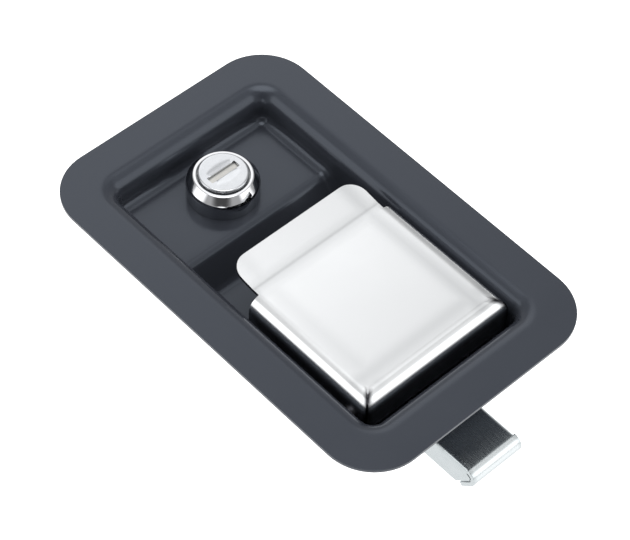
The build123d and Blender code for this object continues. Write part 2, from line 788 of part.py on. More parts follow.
# Wafer tumblers, each a plate with a window for the key
with BuildPart() as lock_wafers:
    for z in wafer_z:
        with BuildSketch(Plane.XY.offset(z)):
            with Locations((lock_x, 0)):
                Rectangle(wafer_width, wafer_length)
                Rectangle(wafer_width - 2 * wafer_rail, wafer_length - 2 * wafer_rail, mode=Mode.SUBTRACT)
        extrude(amount=-wafer_sheet)
write_piece(lock_wafers, "lock_wafers")

# Dust shutter, hung on its wire at one long edge
shutter_top_z = face_z - face_skin - shutter_play
shutter_length = pocket_length - 2 * shutter_play
with BuildPart() as dust_shutter:
    with BuildSketch(Plane.XZ):
        with Locations((hinge_x, hinge_z)):
            Circle(shutter_knuckle_r)
        with Locations((hinge_x, shutter_top_z)):
            Rectangle(hinge_x - pocket_start_x - shutter_play, shutter_sheet, align=(Align.MAX, Align.MAX))
        with Locations((hinge_x, hinge_z)):
            Circle(shutter_pin_r + shutter_pin_play, mode=Mode.SUBTRACT)
    extrude(amount=shutter_length / 2, both=True)
write_piece(dust_shutter, "dust_shutter")

with BuildPart() as shutter_pin:
    with BuildSketch(Plane.XZ):
        with Locations((hinge_x, hinge_z)):
            Circle(shutter_pin_r)
    extrude(amount=pocket_length / 2 + shutter_pin_bite, both=True)
write_piece(shutter_pin, "shutter_pin")

# Cranked cam: a hub on the plug's square, an arm and a bent-up finger
finger_z = cam_under_z + cam_finger_height
with BuildPart() as lock_cam:
    with BuildSketch(Plane.YZ.offset(lock_x)) as crank:
        with BuildLine():
            Polyline(
                (cam_hub_r, cam_under_z),
                (-cam_reach, cam_under_z),
                (-cam_reach, finger_z),
                (-cam_reach + cam_sheet, finger_z),
                (-cam_reach + cam_sheet, cam_top_z),
                (cam_hub_r, cam_top_z),
                close=True,
            )
        make_face()
        fillet(crank.vertices().sort_by_distance((-cam_reach, cam_under_z))[0], cam_bend_r + cam_sheet)
        fillet(crank.vertices().sort_by_distance((-cam_reach + cam_sheet, cam_top_z))[0], cam_bend_r)
    extrude(amount=cam_hub_r, both=True)
    with BuildSketch(Plane.XY.offset(cam_under_z)):
        with Locations((lock_x, 0)):
            Circle(cam_hub_r)
            with Locations((0, -cam_reach)):
                Rectangle(cam_finger_width, cam_reach, align=(Align.CENTER, Align.MIN))
    extrude(amount=cam_finger_height, mode=Mode.INTERSECT)
    with BuildSketch(Plane.XY.offset(cam_under_z)):
        with Locations((lock_x, 0)):
            Rectangle(tail_square + 2 * cam_play, tail_square + 2 * cam_play)
    extrude(amount=cam_sheet, mode=Mode.SUBTRACT)
write_piece(lock_cam, "lock_cam")

# Washer and screw that hold the cam
with BuildPart() as cam_washer:
    with BuildSketch(Plane.XY.offset(cam_under_z)):
        with Locations((lock_x, 0)):
            Circle(cam_washer_r)
            Circle(screw_r + screw_hole_play, mode=Mode.SUBTRACT)
    extrude(amount=-cam_washer_sheet)
write_piece(cam_washer, "cam_washer")

screw_head_z = cam_under_z - cam_washer_sheet
with BuildPart() as cam_screw:
    with BuildSketch(Plane.XY.offset(screw_head_z)):
        with Locations((lock_x, 0)):
            Circle(screw_head_r)
    extrude(amount=-screw_head_height)
    fillet(cam_screw.edges().group_by(Axis.Z)[0], screw_head_round)
    with BuildSketch(Plane.XY.offset(screw_head_z)):
        with Locations((lock_x, 0)):
            Circle(screw_r)
    extrude(amount=screw_length)
    with BuildSketch(Plane.XY.offset(screw_head_z - screw_head_height)):
        with Locations((lock_x, 0)):
            Rectangle(screw_slot_width, 2 * screw_head_r)
    extrude(amount=screw_slot_depth, mode=Mode.SUBTRACT)
write_piece(cam_screw, "cam_screw")
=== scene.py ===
"""Looks of a flush paddle latch with a key lock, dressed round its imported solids.

Each sub-assembly is a class that holds its sizes and builds its own surfaces, each finish is a
frozen dataclass that builds one procedural material, and the studio holds floor, light and camera.
Sizes are in millimetres in the frame of the solids: the origin is the middle of the flange's back
face, +Z points out of the panel and +X towards the bolt. Meshes are scaled to metres when made.
"""

import logging
from collections.abc import Sequence
from dataclasses import dataclass, field
from enum import Enum

import bmesh
import bpy
import numpy as np
from mathutils import Matrix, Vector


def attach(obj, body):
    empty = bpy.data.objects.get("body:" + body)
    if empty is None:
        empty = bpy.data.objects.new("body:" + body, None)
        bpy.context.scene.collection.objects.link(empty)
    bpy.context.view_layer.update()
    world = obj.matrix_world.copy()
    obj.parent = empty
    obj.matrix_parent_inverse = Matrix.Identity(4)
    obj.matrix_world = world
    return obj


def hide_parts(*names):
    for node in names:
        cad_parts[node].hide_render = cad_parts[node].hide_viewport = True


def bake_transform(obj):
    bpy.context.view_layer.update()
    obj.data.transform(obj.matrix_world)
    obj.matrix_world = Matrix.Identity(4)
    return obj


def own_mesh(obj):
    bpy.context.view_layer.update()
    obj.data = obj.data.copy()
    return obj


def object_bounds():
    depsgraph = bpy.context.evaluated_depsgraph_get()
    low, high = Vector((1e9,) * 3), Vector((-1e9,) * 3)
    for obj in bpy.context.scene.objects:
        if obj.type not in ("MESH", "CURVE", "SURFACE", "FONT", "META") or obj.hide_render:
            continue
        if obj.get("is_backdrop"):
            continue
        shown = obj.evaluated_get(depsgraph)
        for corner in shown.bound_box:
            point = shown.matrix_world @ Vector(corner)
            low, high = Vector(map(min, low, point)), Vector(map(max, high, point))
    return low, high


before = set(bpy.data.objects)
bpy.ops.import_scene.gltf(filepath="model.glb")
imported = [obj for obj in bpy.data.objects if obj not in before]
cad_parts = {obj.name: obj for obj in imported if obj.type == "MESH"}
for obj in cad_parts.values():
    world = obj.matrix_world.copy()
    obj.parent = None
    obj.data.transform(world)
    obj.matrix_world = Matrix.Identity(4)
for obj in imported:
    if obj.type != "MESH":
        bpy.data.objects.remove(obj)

Array = np.ndarray
MM = 0.001
FULL_TURN = 2 * np.pi
# painted reflection: darker bands inside the paddle's bends and at its crease
PAINTED_REFLECTION_BAND = "painted_reflection_band"
# painted shade: near-black streaks along the paddle's corner mitres
PAINTED_CORNER_SHADE = "painted_corner_shade"
# painted highlight: a lighter band over the bolt's nose
PAINTED_NOSE_HIGHLIGHT = "painted_nose_highlight"
WHITE = (1.0, 1.0, 1.0, 1.0)
PATCH_OCTAVES = 3.0
GRAIN_OCTAVES = 2.0
NOISE_PRODUCT = (0.1, 0.4)  # where most of two multiplied noises lies
WELD_M = 2e-6  # points closer than this become one
NEEDLE_M = 1e-7  # shorter edges are dissolved
SHARP_DEG = 38.0  # edges that turn by more stay sharp
EDGE_SEGMENTS = 3
EDGE_LIMIT_DEG = 55.0  # edges of a sheet that turn by more are rounded
TINY = 1e-6  # keeps a divisor above zero
log = logging.getLogger("paddle_latch")


class Body(Enum):
    """The rigid bodies that pieces ride on."""

    PAN = "pan"
    PADDLE = "paddle"
    BOLT = "bolt"
    PLUG = "plug"


class Grain(Enum):
    """How the fine pattern of a finish lies on its piece."""

    EVEN = (1.0, 1.0, 1.0)
    ALONG_X = (0.06, 1.0, 1.0)
    ALONG_Y = (1.0, 0.06, 1.0)


@dataclass(frozen=True)
class Finish:
    """A metal or coated surface with two scales of procedural variation.

    A broad noise shifts the colour and the roughness over patches, and a fine noise, stretched
    along the grain, gives the bump and the small roughness changes of the worked surface.
    """

    name: str
    slot: str
    colour: tuple[float, float, float]
    patch_colour: tuple[float, float, float]
    metallic: float
    roughness: float
    roughness_spread: float
    grain_mm: float
    bump: float
    patch_mm: float = 12.0
    grain: Grain = Grain.EVEN
    specular: float = 0.5
    specular_tint: tuple[float, float, float] = (1.0, 1.0, 1.0)
    marks: tuple[tuple[str, tuple[float, float, float]], ...] = ()

    def material(self) -> bpy.types.Material:
        """Builds the node tree.

        Returns:
            The finished material, made once and then found by its name.
        """
        made = bpy.data.materials.get(self.name)
        if made is not None:
            return made
        made = bpy.data.materials.new(self.name)
        made.use_nodes = True
        nodes, links = made.node_tree.nodes, made.node_tree.links
        shader = nodes["Principled BSDF"]
        shader.inputs["Metallic"].default_value = self.metallic
        shader.inputs["Specular IOR Level"].default_value = self.specular
        shader.inputs["Specular Tint"].default_value = (*self.specular_tint, 1.0)
        place = nodes.new("ShaderNodeTexCoord")
        patches = self._noise(made, place, Grain.EVEN, self.patch_mm, PATCH_OCTAVES)
        fine = self._noise(made, place, self.grain, self.grain_mm, GRAIN_OCTAVES)
        links.new(self._colour(made, patches), shader.inputs["Base Color"])
        links.new(self._roughness(made, patches, fine), shader.inputs["Roughness"])
        bump = nodes.new("ShaderNodeBump")
        bump.inputs["Strength"].default_value = self.bump
        bump.inputs["Distance"].default_value = self.grain_mm * MM
        links.new(fine, bump.inputs["Height"])
        links.new(bump.outputs["Normal"], shader.inputs["Normal"])
        return made

    def _noise(
        self,
        made: bpy.types.Material,
        place: bpy.types.Node,
        grain: Grain,
        size_mm: float,
        detail: float,
    ) -> bpy.types.NodeSocket:
        """Adds a noise on Object coordinates.

        Args:
            made: Material that gets the nodes.
            place: Texture Coordinate node to read.
            grain: How the noise is stretched.
            size_mm: Size of one blotch of the noise.
            detail: Number of finer octaves.

        Returns:
            The noise's value, about 0 to 1.
        """
        nodes, links = made.node_tree.nodes, made.node_tree.links
        mapping = nodes.new("ShaderNodeMapping")
        mapping.inputs["Scale"].default_value = grain.value
        noise = nodes.new("ShaderNodeTexNoise")
        noise.inputs["Scale"].default_value = 1 / (size_mm * MM)
        noise.inputs["Detail"].default_value = detail
        links.new(place.outputs["Object"], mapping.inputs["Vector"])
        links.new(mapping.outputs["Vector"], noise.inputs["Vector"])
        return noise.outputs["Fac"]

    def _colour(self, made: bpy.types.Material, patches: bpy.types.NodeSocket) -> bpy.types.NodeSocket:
        """Mixes the two colours by the broad noise, and each mark's colour by its place on the piece.

        Args:
            made: Material that gets the nodes.
            patches: Value of the broad noise.

        Returns:
            The colour's socket.
        """
        nodes, links = made.node_tree.nodes, made.node_tree.links
        mix = nodes.new("ShaderNodeMix")
        mix.data_type = "RGBA"
        mix.inputs["A"].default_value = (*self.colour, 1.0)
        mix.inputs["B"].default_value = (*self.patch_colour, 1.0)
        links.new(patches, mix.inputs["Factor"])
        colour = mix.outputs["Result"]
        for attribute, marked in self.marks:
            place = nodes.new("ShaderNodeAttribute")
            place.attribute_name = attribute
            over = nodes.new("ShaderNodeMix")
            over.data_type = "RGBA"
            over.inputs["B"].default_value = (*marked, 1.0)
            links.new(colour, over.inputs["A"])
            links.new(place.outputs["Fac"], over.inputs["Factor"])
            colour = over.outputs["Result"]
        return colour

    def _roughness(
        self,
        made: bpy.types.Material,
        patches: bpy.types.NodeSocket,
        fine: bpy.types.NodeSocket,
    ) -> bpy.types.NodeSocket:
        """Spreads the roughness about its middle by the product of both noises.

        Args:
            made: Material that gets the nodes.
            patches: Value of the broad noise.
            fine: Value of the fine noise.

        Returns:
            The roughness socket.
        """
        nodes, links = made.node_tree.nodes, made.node_tree.links
        both = nodes.new("ShaderNodeMath")
        both.operation = "MULTIPLY"
        links.new(patches, both.inputs[0])
        links.new(fine, both.inputs[1])
        spread = nodes.new("ShaderNodeMapRange")
        low, high = NOISE_PRODUCT
        spread.inputs["From Min"].default_value = low
        spread.inputs["From Max"].default_value = high
        spread.inputs["To Min"].default_value = self.roughness - self.roughness_spread
        spread.inputs["To Max"].default_value = self.roughness + self.roughness_spread
        links.new(both.outputs["Value"], spread.inputs["Value"])
        return spread.outputs["Result"]


BLACK_COAT = Finish(
    name="satin_black_powder_coat", slot="black_coat",
    colour=(0.0303, 0.0336, 0.0427), patch_colour=(0.034, 0.0377, 0.0469),
    metallic=0.0, roughness=0.19, roughness_spread=0.03, patch_mm=22.0,
    grain_mm=0.32, bump=0.04, specular=0.39, specular_tint=(0.78, 0.87, 1.0),
)
SATIN_STAINLESS = Finish(
    name="brushed_stainless", slot="satin_stainless",
    colour=(0.69, 0.70, 0.71), patch_colour=(0.66, 0.67, 0.68),
    metallic=1.0, roughness=0.22, roughness_spread=0.02, patch_mm=18.0,
    grain=Grain.ALONG_Y, grain_mm=0.25, bump=0.008,
    # both marks are painted light: darker bands for reflection near the bends, near-black shade along the
    # corner mitres
    marks=((PAINTED_REFLECTION_BAND, (0.55, 0.56, 0.57)), (PAINTED_CORNER_SHADE, (0.02, 0.02, 0.023))),
)
SHUTTER_STEEL = Finish(
    name="dull_shutter_steel", slot="satin_stainless",
    colour=(0.47, 0.465, 0.445), patch_colour=(0.42, 0.415, 0.395),
    metallic=1.0, roughness=0.3, roughness_spread=0.05, patch_mm=3.0,
    grain=Grain.ALONG_X, grain_mm=0.2, bump=0.03,
)
ZINC_PLATE = Finish(
    name="bright_zinc_plate", slot="zinc_plate",
    colour=(0.43, 0.46, 0.47), patch_colour=(0.37, 0.40, 0.41),
    metallic=1.0, roughness=0.27, roughness_spread=0.03, patch_mm=2.4,
    # the nose mark is a painted highlight, a lighter colour on the nose
    grain=Grain.ALONG_X, grain_mm=0.3, bump=0.012, marks=((PAINTED_NOSE_HIGHLIGHT, (0.56, 0.59, 0.60)),),
)
DARK_STEEL = Finish(
    name="blackened_steel", slot="zinc_plate",
    colour=(0.10, 0.10, 0.11), patch_colour=(0.07, 0.07, 0.08),
    metallic=1.0, roughness=0.38, roughness_spread=0.06, patch_mm=2.0, grain_mm=0.25, bump=0.05,
)
CHROME_PLATE = Finish(
    name="polished_chrome", slot="chrome_plate",
    colour=(0.58, 0.585, 0.60), patch_colour=(0.56, 0.565, 0.58),
    metallic=1.0, roughness=0.05, roughness_spread=0.02, grain_mm=0.5, bump=0.01,
)
FACE_CHROME = Finish(
    name="satin_chrome_face", slot="chrome_plate",
    colour=(0.53, 0.54, 0.56), patch_colour=(0.47, 0.485, 0.505),
    metallic=1.0, roughness=0.20, roughness_spread=0.05, patch_mm=5.0, grain_mm=0.3, bump=0.02,
)
CAST_ZINC = Finish(
    name="dull_cast_zinc", slot="cast_zinc",
    colour=(0.30, 0.305, 0.31), patch_colour=(0.24, 0.245, 0.25),
    metallic=1.0, roughness=0.42, roughness_spread=0.06, patch_mm=3.0, grain_mm=0.4, bump=0.08,
)
WAFER_BRASS = Finish(
    name="stamped_brass", slot="wafer_brass",
    colour=(0.55, 0.40, 0.16), patch_colour=(0.47, 0.34, 0.13),
    metallic=1.0, roughness=0.30, roughness_spread=0.05, patch_mm=2.0, grain_mm=0.2, bump=0.04,
)
SPRING_WIRE = Finish(
    name="oiled_spring_wire", slot="spring_steel",
    colour=(0.24, 0.24, 0.25), patch_colour=(0.18, 0.18, 0.19),
    metallic=1.0, roughness=0.30, roughness_spread=0.06, patch_mm=1.5, grain_mm=0.2, bump=0.04,
)


@dataclass
class Grid:
    """A surface as points on a grid of two parameters.

    Attributes:
        points: Points in millimetres, indexed by row, column and axis.
        closed_rows: Whether the last row joins the first.
        closed_columns: Whether the last column joins the first.
        keep: Which quads stay, by row and column, or None for all.
    """

    points: Array
    closed_rows: bool = False
    closed_columns: bool = False
    keep: Array | None = None

    def quads(self) -> Array:
        """Numbers each kept quad's corners, where a point's number is row times columns plus column.

        Returns:
            Four corner numbers a quad, in order round it.
        """
        rows, columns = self.points.shape[:2]
        row = np.arange(rows if self.closed_rows else rows - 1)
        column = np.arange(columns if self.closed_columns else columns - 1)
        i, j = np.meshgrid(row, column, indexing="ij")
        down, right = (i + 1) % rows, (j + 1) % columns
        corners = np.stack(
            [i * columns + j, i * columns + right, down * columns + right, down * columns + j], -1
        )
        return corners.reshape(-1, 4) if self.keep is None else corners[self.keep]

    def middles(self) -> Array:
        """Returns the middle of each quad of an open grid, by row and column."""
        p = self.points
        return (p[:-1, :-1] + p[1:, :-1] + p[:-1, 1:] + p[1:, 1:]) / 4


def make_piece(name: str, grids: Sequence[Grid], open_side_up: bool = False) -> bpy.types.Object:
    """Welds grids into one mesh object in metres, with its normals outwards.

    Args:
        name: Name of the piece.
        grids: Surfaces that make it up; rows and columns that meet are welded.
        open_side_up: For an open sheet, turns it so that most of it faces +Z.

    Returns:
        The new object, at the origin.
    """
    starts = np.cumsum([0] + [g.points.shape[0] * g.points.shape[1] for g in grids])
    points = np.concatenate([g.points.reshape(-1, 3) for g in grids]) * MM
    faces = np.concatenate([g.quads() + start for g, start in zip(grids, starts)])
    used, faces = np.unique(faces, return_inverse=True)
    mesh = bpy.data.meshes.new(name)
    mesh.from_pydata(points[used].tolist(), [], faces.reshape(-1, 4).tolist())
    shape = bmesh.new()
    shape.from_mesh(mesh)
    bmesh.ops.remove_doubles(shape, verts=shape.verts, dist=WELD_M)
    bmesh.ops.dissolve_degenerate(shape, dist=NEEDLE_M, edges=shape.edges)
    bmesh.ops.recalc_face_normals(shape, faces=shape.faces)
    if open_side_up and sum(f.normal.z * f.calc_area() for f in shape.faces) < 0:
        bmesh.ops.reverse_faces(shape, faces=shape.faces)
    shape.to_mesh(mesh)
    shape.free()
    mesh.shade_smooth()
    mesh.set_sharp_from_angle(angle=np.radians(SHARP_DEG))
    piece = bpy.data.objects.new(name, mesh)
    bpy.context.scene.collection.objects.link(piece)
    return piece


def vertices_mm(mesh: bpy.types.Mesh) -> Array:
    """Reads where a mesh's vertices are.

    Args:
        mesh: A mesh in metres.

    Returns:
        The vertices in millimetres, one a row.
    """
    place = np.empty(len(mesh.vertices) * 3, np.float32)
    mesh.vertices.foreach_get("co", place)
    return place.reshape(-1, 3) / MM


def store_mark(mesh: bpy.types.Mesh, name: str, strength: Array) -> None:
    """Stores a mark's strength at each vertex, for the finish that reads it."""
    mesh.attributes.new(name, "FLOAT", "POINT").data.foreach_set("value", strength.astype(np.float32))


def thicken(piece: bpy.types.Object, sheet_mm: float, edge_mm: float) -> None:
    """Gives an open surface its sheet thickness behind it, and rounds the cut edges.

    Args:
        piece: Object whose mesh is the sheet's outer face.
        sheet_mm: Thickness of the sheet.
        edge_mm: Radius on the cut edges.
    """
    wall = piece.modifiers.new("sheet", "SOLIDIFY")
    wall.thickness = sheet_mm * MM
    wall.offset = -1.0
    wall.use_even_offset = True
    wall.use_quality_normals = True
    edge = piece.modifiers.new("edge", "BEVEL")
    edge.width = edge_mm * MM
    edge.segments = EDGE_SEGMENTS
    edge.limit_method = "ANGLE"
    edge.angle_limit = np.radians(EDGE_LIMIT_DEG)
    edge.harden_normals = True


def paint(piece: bpy.types.Object, finish: Finish) -> None:
    """Makes a finish the only material of a piece."""
    piece.data.materials.clear()
    piece.data.materials.append(finish.material())


def coat(piece: bpy.types.Object, finish: Finish, *nodes: str) -> None:
    """Gives a piece its finish, hides the solids that it stands for, and reports it.

    Args:
        piece: The finished object.
        finish: Its surface.
        nodes: Solids that it stands for.
    """
    paint(piece, finish)
    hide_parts(*nodes)
    log.info("%s: %d faces, %s", piece.name, len(piece.data.polygons), finish.name)


def dress(piece: bpy.types.Object, finish: Finish, body: Body, *nodes: str) -> None:
    """Coats a piece and lets it move with a body.

    Args:
        piece: The finished object.
        finish: Its surface.
        body: The rigid body that it moves with.
        nodes: Solids that it stands for.
    """
    coat(piece, finish, *nodes)
    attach(piece, body.value)


def rounded_path(corners: Sequence[tuple[float, float, float]], closed: bool, steps: int = 7) -> Array:
    """A line of straight runs whose corners are arcs.

    At a corner that turns by an angle t, the arc of radius r starts r tan(t/2) before the corner
    and ends as far after it.

    Args:
        corners: Each corner's two coordinates and its radius.
        closed: Whether the line returns to its start.
        steps: Points on each arc.

    Returns:
        The line's points, in order.
    """
    places = np.array([c[:2] for c in corners], float)
    parts = []
    for i, (x, y, radius) in enumerate(corners):
        at_end = not closed and i in (0, len(corners) - 1)
        if radius == 0 or at_end:
            parts.append([[x, y]])
            continue
        back = places[i - 1] - places[i]
        ahead = places[(i + 1) % len(corners)] - places[i]
        back, ahead = back / np.linalg.norm(back), ahead / np.linalg.norm(ahead)
        half = np.arccos(np.clip(back @ ahead, -1, 1)) / 2
        middle = places[i] + (back + ahead) / np.linalg.norm(back + ahead) * radius / np.sin(half)
        start = places[i] + back * radius / np.tan(half) - middle
        end = places[i] + ahead * radius / np.tan(half) - middle
        turn = np.arctan2(start[0] * end[1] - start[1] * end[0], start @ end)
        a = np.linspace(0, turn, steps)[:, None]
        side = np.array([-start[1], start[0]])
        parts.append(middle + start * np.cos(a) + side * np.sin(a))
    return np.concatenate(parts)


def angles(count: int) -> Array:
    """Evenly spaced angles of one full turn, from 0."""
    return np.arange(count) * FULL_TURN / count


def unit_circle(count: int) -> Array:
    """Evenly spaced points on a circle of radius 1: cosine and sine of each angle."""
    return np.column_stack([np.cos(angles(count)), np.sin(angles(count))])


def mirrored(half: Array) -> Array:
    """Places from 0 outwards, after the same places on the other side of 0."""
    return np.concatenate([-half[:0:-1], half])


def at_height(plan: Array, height: float) -> Array:
    """Points of a plan, all at one height."""
    return np.column_stack([plan, np.full(len(plan), height)])


def around(centre: tuple[float, float], radius: Array, angle: Array, height: Array) -> Array:
    """Points about a line along Z: the centre plus the radius times cosine and sine of the angle.

    Args:
        centre: X and Y of the line.
        radius: Radius by row, or by row and angle.
        angle: Angle of each column.
        height: Height by row.

    Returns:
        Points by row and angle.
    """
    x = centre[0] + radius * np.cos(angle)
    y = centre[1] + radius * np.sin(angle)
    return np.stack([x, y, np.broadcast_to(height, x.shape)], -1)


def revolve(profile: Array, centre: tuple[float, float], count: int) -> Array:
    """Turns a profile of radius and height about a line along Z.

    Point (i, j) is the centre plus radius i at angle j, at height i.

    Args:
        profile: Radius and height of each point.
        centre: X and Y of the axis.
        count: Points round the axis.

    Returns:
        Points by profile point and angle.
    """
    return around(centre, profile[:, :1], angles(count), profile[:, 1:])


def tube(path: Array, radius: float, sides: int = 14) -> Array:
    """Carries a circle along a path of points.

    The circle stands across the path's direction. Its first axis is the part, square to the path,
    of the coordinate axis that the path follows least, and its second axis is square to both.
    A point is the path's plus the radius times the cosine of the first and the sine of the second.

    Args:
        path: Points of the middle line.
        radius: Radius of the circle.
        sides: Points round the circle.

    Returns:
        Points by path point and side, with a point at each end to close it.
    """
    along = np.gradient(path, axis=0)
    along /= np.linalg.norm(along, axis=1, keepdims=True)
    spread = np.ptp(along, axis=0)
    fixed = np.eye(3)[np.argmin(spread + np.abs(along).max(axis=0))]
    first = fixed - along * (along @ fixed)[:, None]
    first /= np.linalg.norm(first, axis=1, keepdims=True)
    second = np.cross(along, first)
    angle = angles(sides)
    ring = first[:, None] * np.cos(angle)[:, None] + second[:, None] * np.sin(angle)[:, None]
    wall = path[:, None] + radius * ring
    ends = [np.repeat(path[i][None, None], sides, axis=1) for i in (0, -1)]
    return np.concatenate([ends[0], wall, ends[1]])


def thread_wave(turns: Array) -> Array:
    """A rolled thread as a cosine wave of one turn, 0 at the crest and 1 at the root."""
    return (1 - np.cos(turns * FULL_TURN)) / 2


def rounded_outline(
    half_x: float, half_y: float, corner_r: float, across: Array, corner_count: int, end_count: int
) -> Array:
    """Points round a rectangle with round corners, anticlockwise from its low X and low Y.

    A corner's points are its arc's middle plus the radius times cosine and sine of the angle.

    Args:
        half_x: Half of its length along X.
        half_y: Half of its length along Y.
        corner_r: Radius of the corners.
        across: Places along the straight of a long side, from -1 to 1.
        corner_count: Points inside each corner arc.
        end_count: Points along each short side.

    Returns:
        X and Y of each point.
    """
    straight_x, straight_y = half_x - corner_r, half_y - corner_r
    long_x = across * straight_x
    end_y = np.linspace(-1, 1, end_count) * straight_y
    turn = np.radians(np.linspace(0, 90, corner_count + 2)[1:-1])

    def side(x: Array | float, y: Array | float) -> Array:
        """Points of a straight side, where one of X and Y stays the same."""
        return np.stack(np.broadcast_arrays(x, y), -1).astype(float)

    def corner(sign_x: int, sign_y: int, quarter: int) -> Array:
        """Points inside a corner's arc.

        Args:
            sign_x: 1 at the +X end, -1 at the -X end.
            sign_y: 1 on the +Y side, -1 on the -Y side.
            quarter: Quarter turns before the arc starts.

        Returns:
            X and Y of each point.
        """
        angle = turn + quarter * np.pi / 2
        x = sign_x * straight_x + corner_r * np.cos(angle)
        y = sign_y * straight_y + corner_r * np.sin(angle)
        return side(x, y)

    return np.concatenate([
        side(long_x, -half_y), corner(1, -1, -1), side(half_x, end_y), corner(1, 1, 0),
        side(long_x[::-1], half_y), corner(-1, 1, 1), side(-half_x, end_y[::-1]), corner(-1, -1, 2),
    ])


@dataclass
class Tray:
    """Pressed pan: flange, rolled bend, walls, shelf for the lock, step and deep floor."""

    flange_length: float = 140.0
    flange_width: float = 90.0
    flange_corner_r: float = 16.5
    sheet: float = 1.2
    edge_r: float = 0.4
    pan_length: float = 108.0
    pan_width: float = 58.0
    pan_corner_r: float = 3.4
    floor_r: float = 2.9
    bend_r: float = 5.6
    shelf_z: float = -9.2
    floor_z: float = -18.5
    step_top_x: float = -24.4
    step_run: float = 6.9
    brow_r: float = 3.8
    foot_r: float = 4.0
    slot_start_x: float = 32.62
    slot_end_x: float = 47.7
    slot_half: float = 7.2
    corner_count: int = 14
    end_count: int = 15
    side_count: int = 34
    step_count: int = 12
    arc_count: int = 13
    step_margin: float = 1.0
    flange_shares: tuple[float, ...] = (1.0, 0.97, 0.6, 0.3, 0.06)
    wall_shares: tuple[float, ...] = (0.06, 0.5, 0.94)
    floor_shares: tuple[float, ...] = (0.985, 0.8, 0.55)
    step_angle: float = field(init=False)
    brow_x: float = field(init=False)
    foot_x: float = field(init=False)
    straight: float = field(init=False)
    columns: Array = field(init=False)

    def __post_init__(self) -> None:
        """Works out the step's angle and arcs, and the columns that follow them."""
        drop = self.shelf_z - self.floor_z
        self.step_angle = np.arctan2(drop, self.step_run)
        half = np.tan(self.step_angle / 2)
        self.brow_x = self.step_top_x - self.brow_r * half
        self.foot_x = self.step_top_x + self.step_run + self.foot_r * half
        self.straight = self.pan_length / 2 - self.pan_corner_r
        turn = np.linspace(0, self.step_angle, self.step_count)
        brow = self.brow_x + self.brow_r * np.sin(turn)
        foot = self.foot_x - self.foot_r * np.sin(turn)
        spaced = np.linspace(-self.straight, self.straight, self.side_count)
        near_step = (spaced > self.brow_x - self.step_margin) & (spaced < self.foot_x + self.step_margin)
        edges = [self.slot_start_x, self.slot_end_x]
        self.columns = np.unique(np.concatenate([spaced[~near_step], brow, foot, edges]).round(4))

    def floor_at(self, x: Array) -> tuple[Array, Array]:
        """Height and slope of the floor: shelf, arc over the brow, straight step, arc at the foot.

        On an arc the height leaves the flat by r less the root of r squared less d squared, at a
        distance d along it, and the slope is d over that root.

        Args:
            x: Places along the pan.

        Returns:
            Height of the floor and its rise per unit of X.
        """
        sin_step, tan_step = np.sin(self.step_angle), np.tan(self.step_angle)
        over = np.clip(x - self.brow_x, 0, self.brow_r * sin_step)
        under = np.clip(self.foot_x - x, 0, self.foot_r * sin_step)
        brow_z = self.shelf_z - self.brow_r + np.sqrt(self.brow_r**2 - over**2)
        foot_z = self.floor_z + self.foot_r - np.sqrt(self.foot_r**2 - under**2)
        line_z = self.shelf_z - (x - self.step_top_x) * tan_step
        on_line = (over >= self.brow_r * sin_step) & (under >= self.foot_r * sin_step)
        before = over < self.brow_r * sin_step
        height = np.select([on_line, before], [line_z, brow_z], foot_z)
        brow_slope = -over / np.sqrt(self.brow_r**2 - over**2)
        foot_slope = -under / np.sqrt(self.foot_r**2 - under**2)
        slope = np.select([on_line, before], [-tan_step * np.ones_like(x), brow_slope], foot_slope)
        return height, slope

    def ring(self, half_x: float, half_y: float, corner_r: float) -> Array:
        """A rounded rectangle with the pan's own spacing of points."""
        across = self.columns / self.straight
        return rounded_outline(half_x, half_y, corner_r, across, self.corner_count, self.end_count)

    def outline(self, grow: float) -> Array:
        """The pan's wall line moved outwards by grow."""
        return self.ring(self.pan_length / 2 + grow, self.pan_width / 2 + grow, self.pan_corner_r + grow)

    def flange_ring(self, share: float) -> Array:
        """A ring on the flange: the bend's start plus a share of the way to the outer edge.

        Args:
            share: 0 at the bend's start, 1 at the outer edge.

        Returns:
            The ring's points.
        """
        inner = self.outline(self.bend_r)
        outer = self.ring(self.flange_length / 2, self.flange_width / 2, self.flange_corner_r)
        return at_height(inner + (outer - inner) * share, self.sheet)

    def bend_ring(self, angle: float) -> Array:
        """A ring on the bend: r(1 - sin a) out from the wall line and r(1 - cos a) below the flange."""
        plan = self.outline(self.bend_r * (1 - np.sin(angle)))
        return at_height(plan, self.sheet - self.bend_r * (1 - np.cos(angle)))

    def foot_ring(self, angle: float) -> Array:
        """A ring on the fillet at the wall's foot.

        The fillet is the path of an arc that stands across the floor line: it goes in from the
        wall by r(1 - cos a) and up along the floor's own normal by r(1 - sin a).

        Args:
            angle: 0 at the wall, a quarter turn at the floor.

        Returns:
            The ring's points.
        """
        plan = self.outline(-self.floor_r * (1 - np.cos(angle)))
        height, slope = self.floor_at(plan[:, 0])
        rise = self.floor_r * (1 - np.sin(angle)) / np.hypot(1, slope)
        return np.column_stack([plan[:, 0] - slope * rise, plan[:, 1], height + rise])

    def floor_ring(self, share: float) -> Array:
        """A ring on the floor: the fillet's end drawn in to the middle line, at the floor's height.

        Args:
            share: 1 at the fillet's end, 0 at the middle line.

        Returns:
            The ring's points.
        """
        plan = self.outline(-self.floor_r)
        middle_x = np.clip(plan[:, 0], -self.straight, self.straight)
        x = middle_x + (plan[:, 0] - middle_x) * share
        return np.column_stack([x, plan[:, 1] * share, self.floor_at(x)[0]])

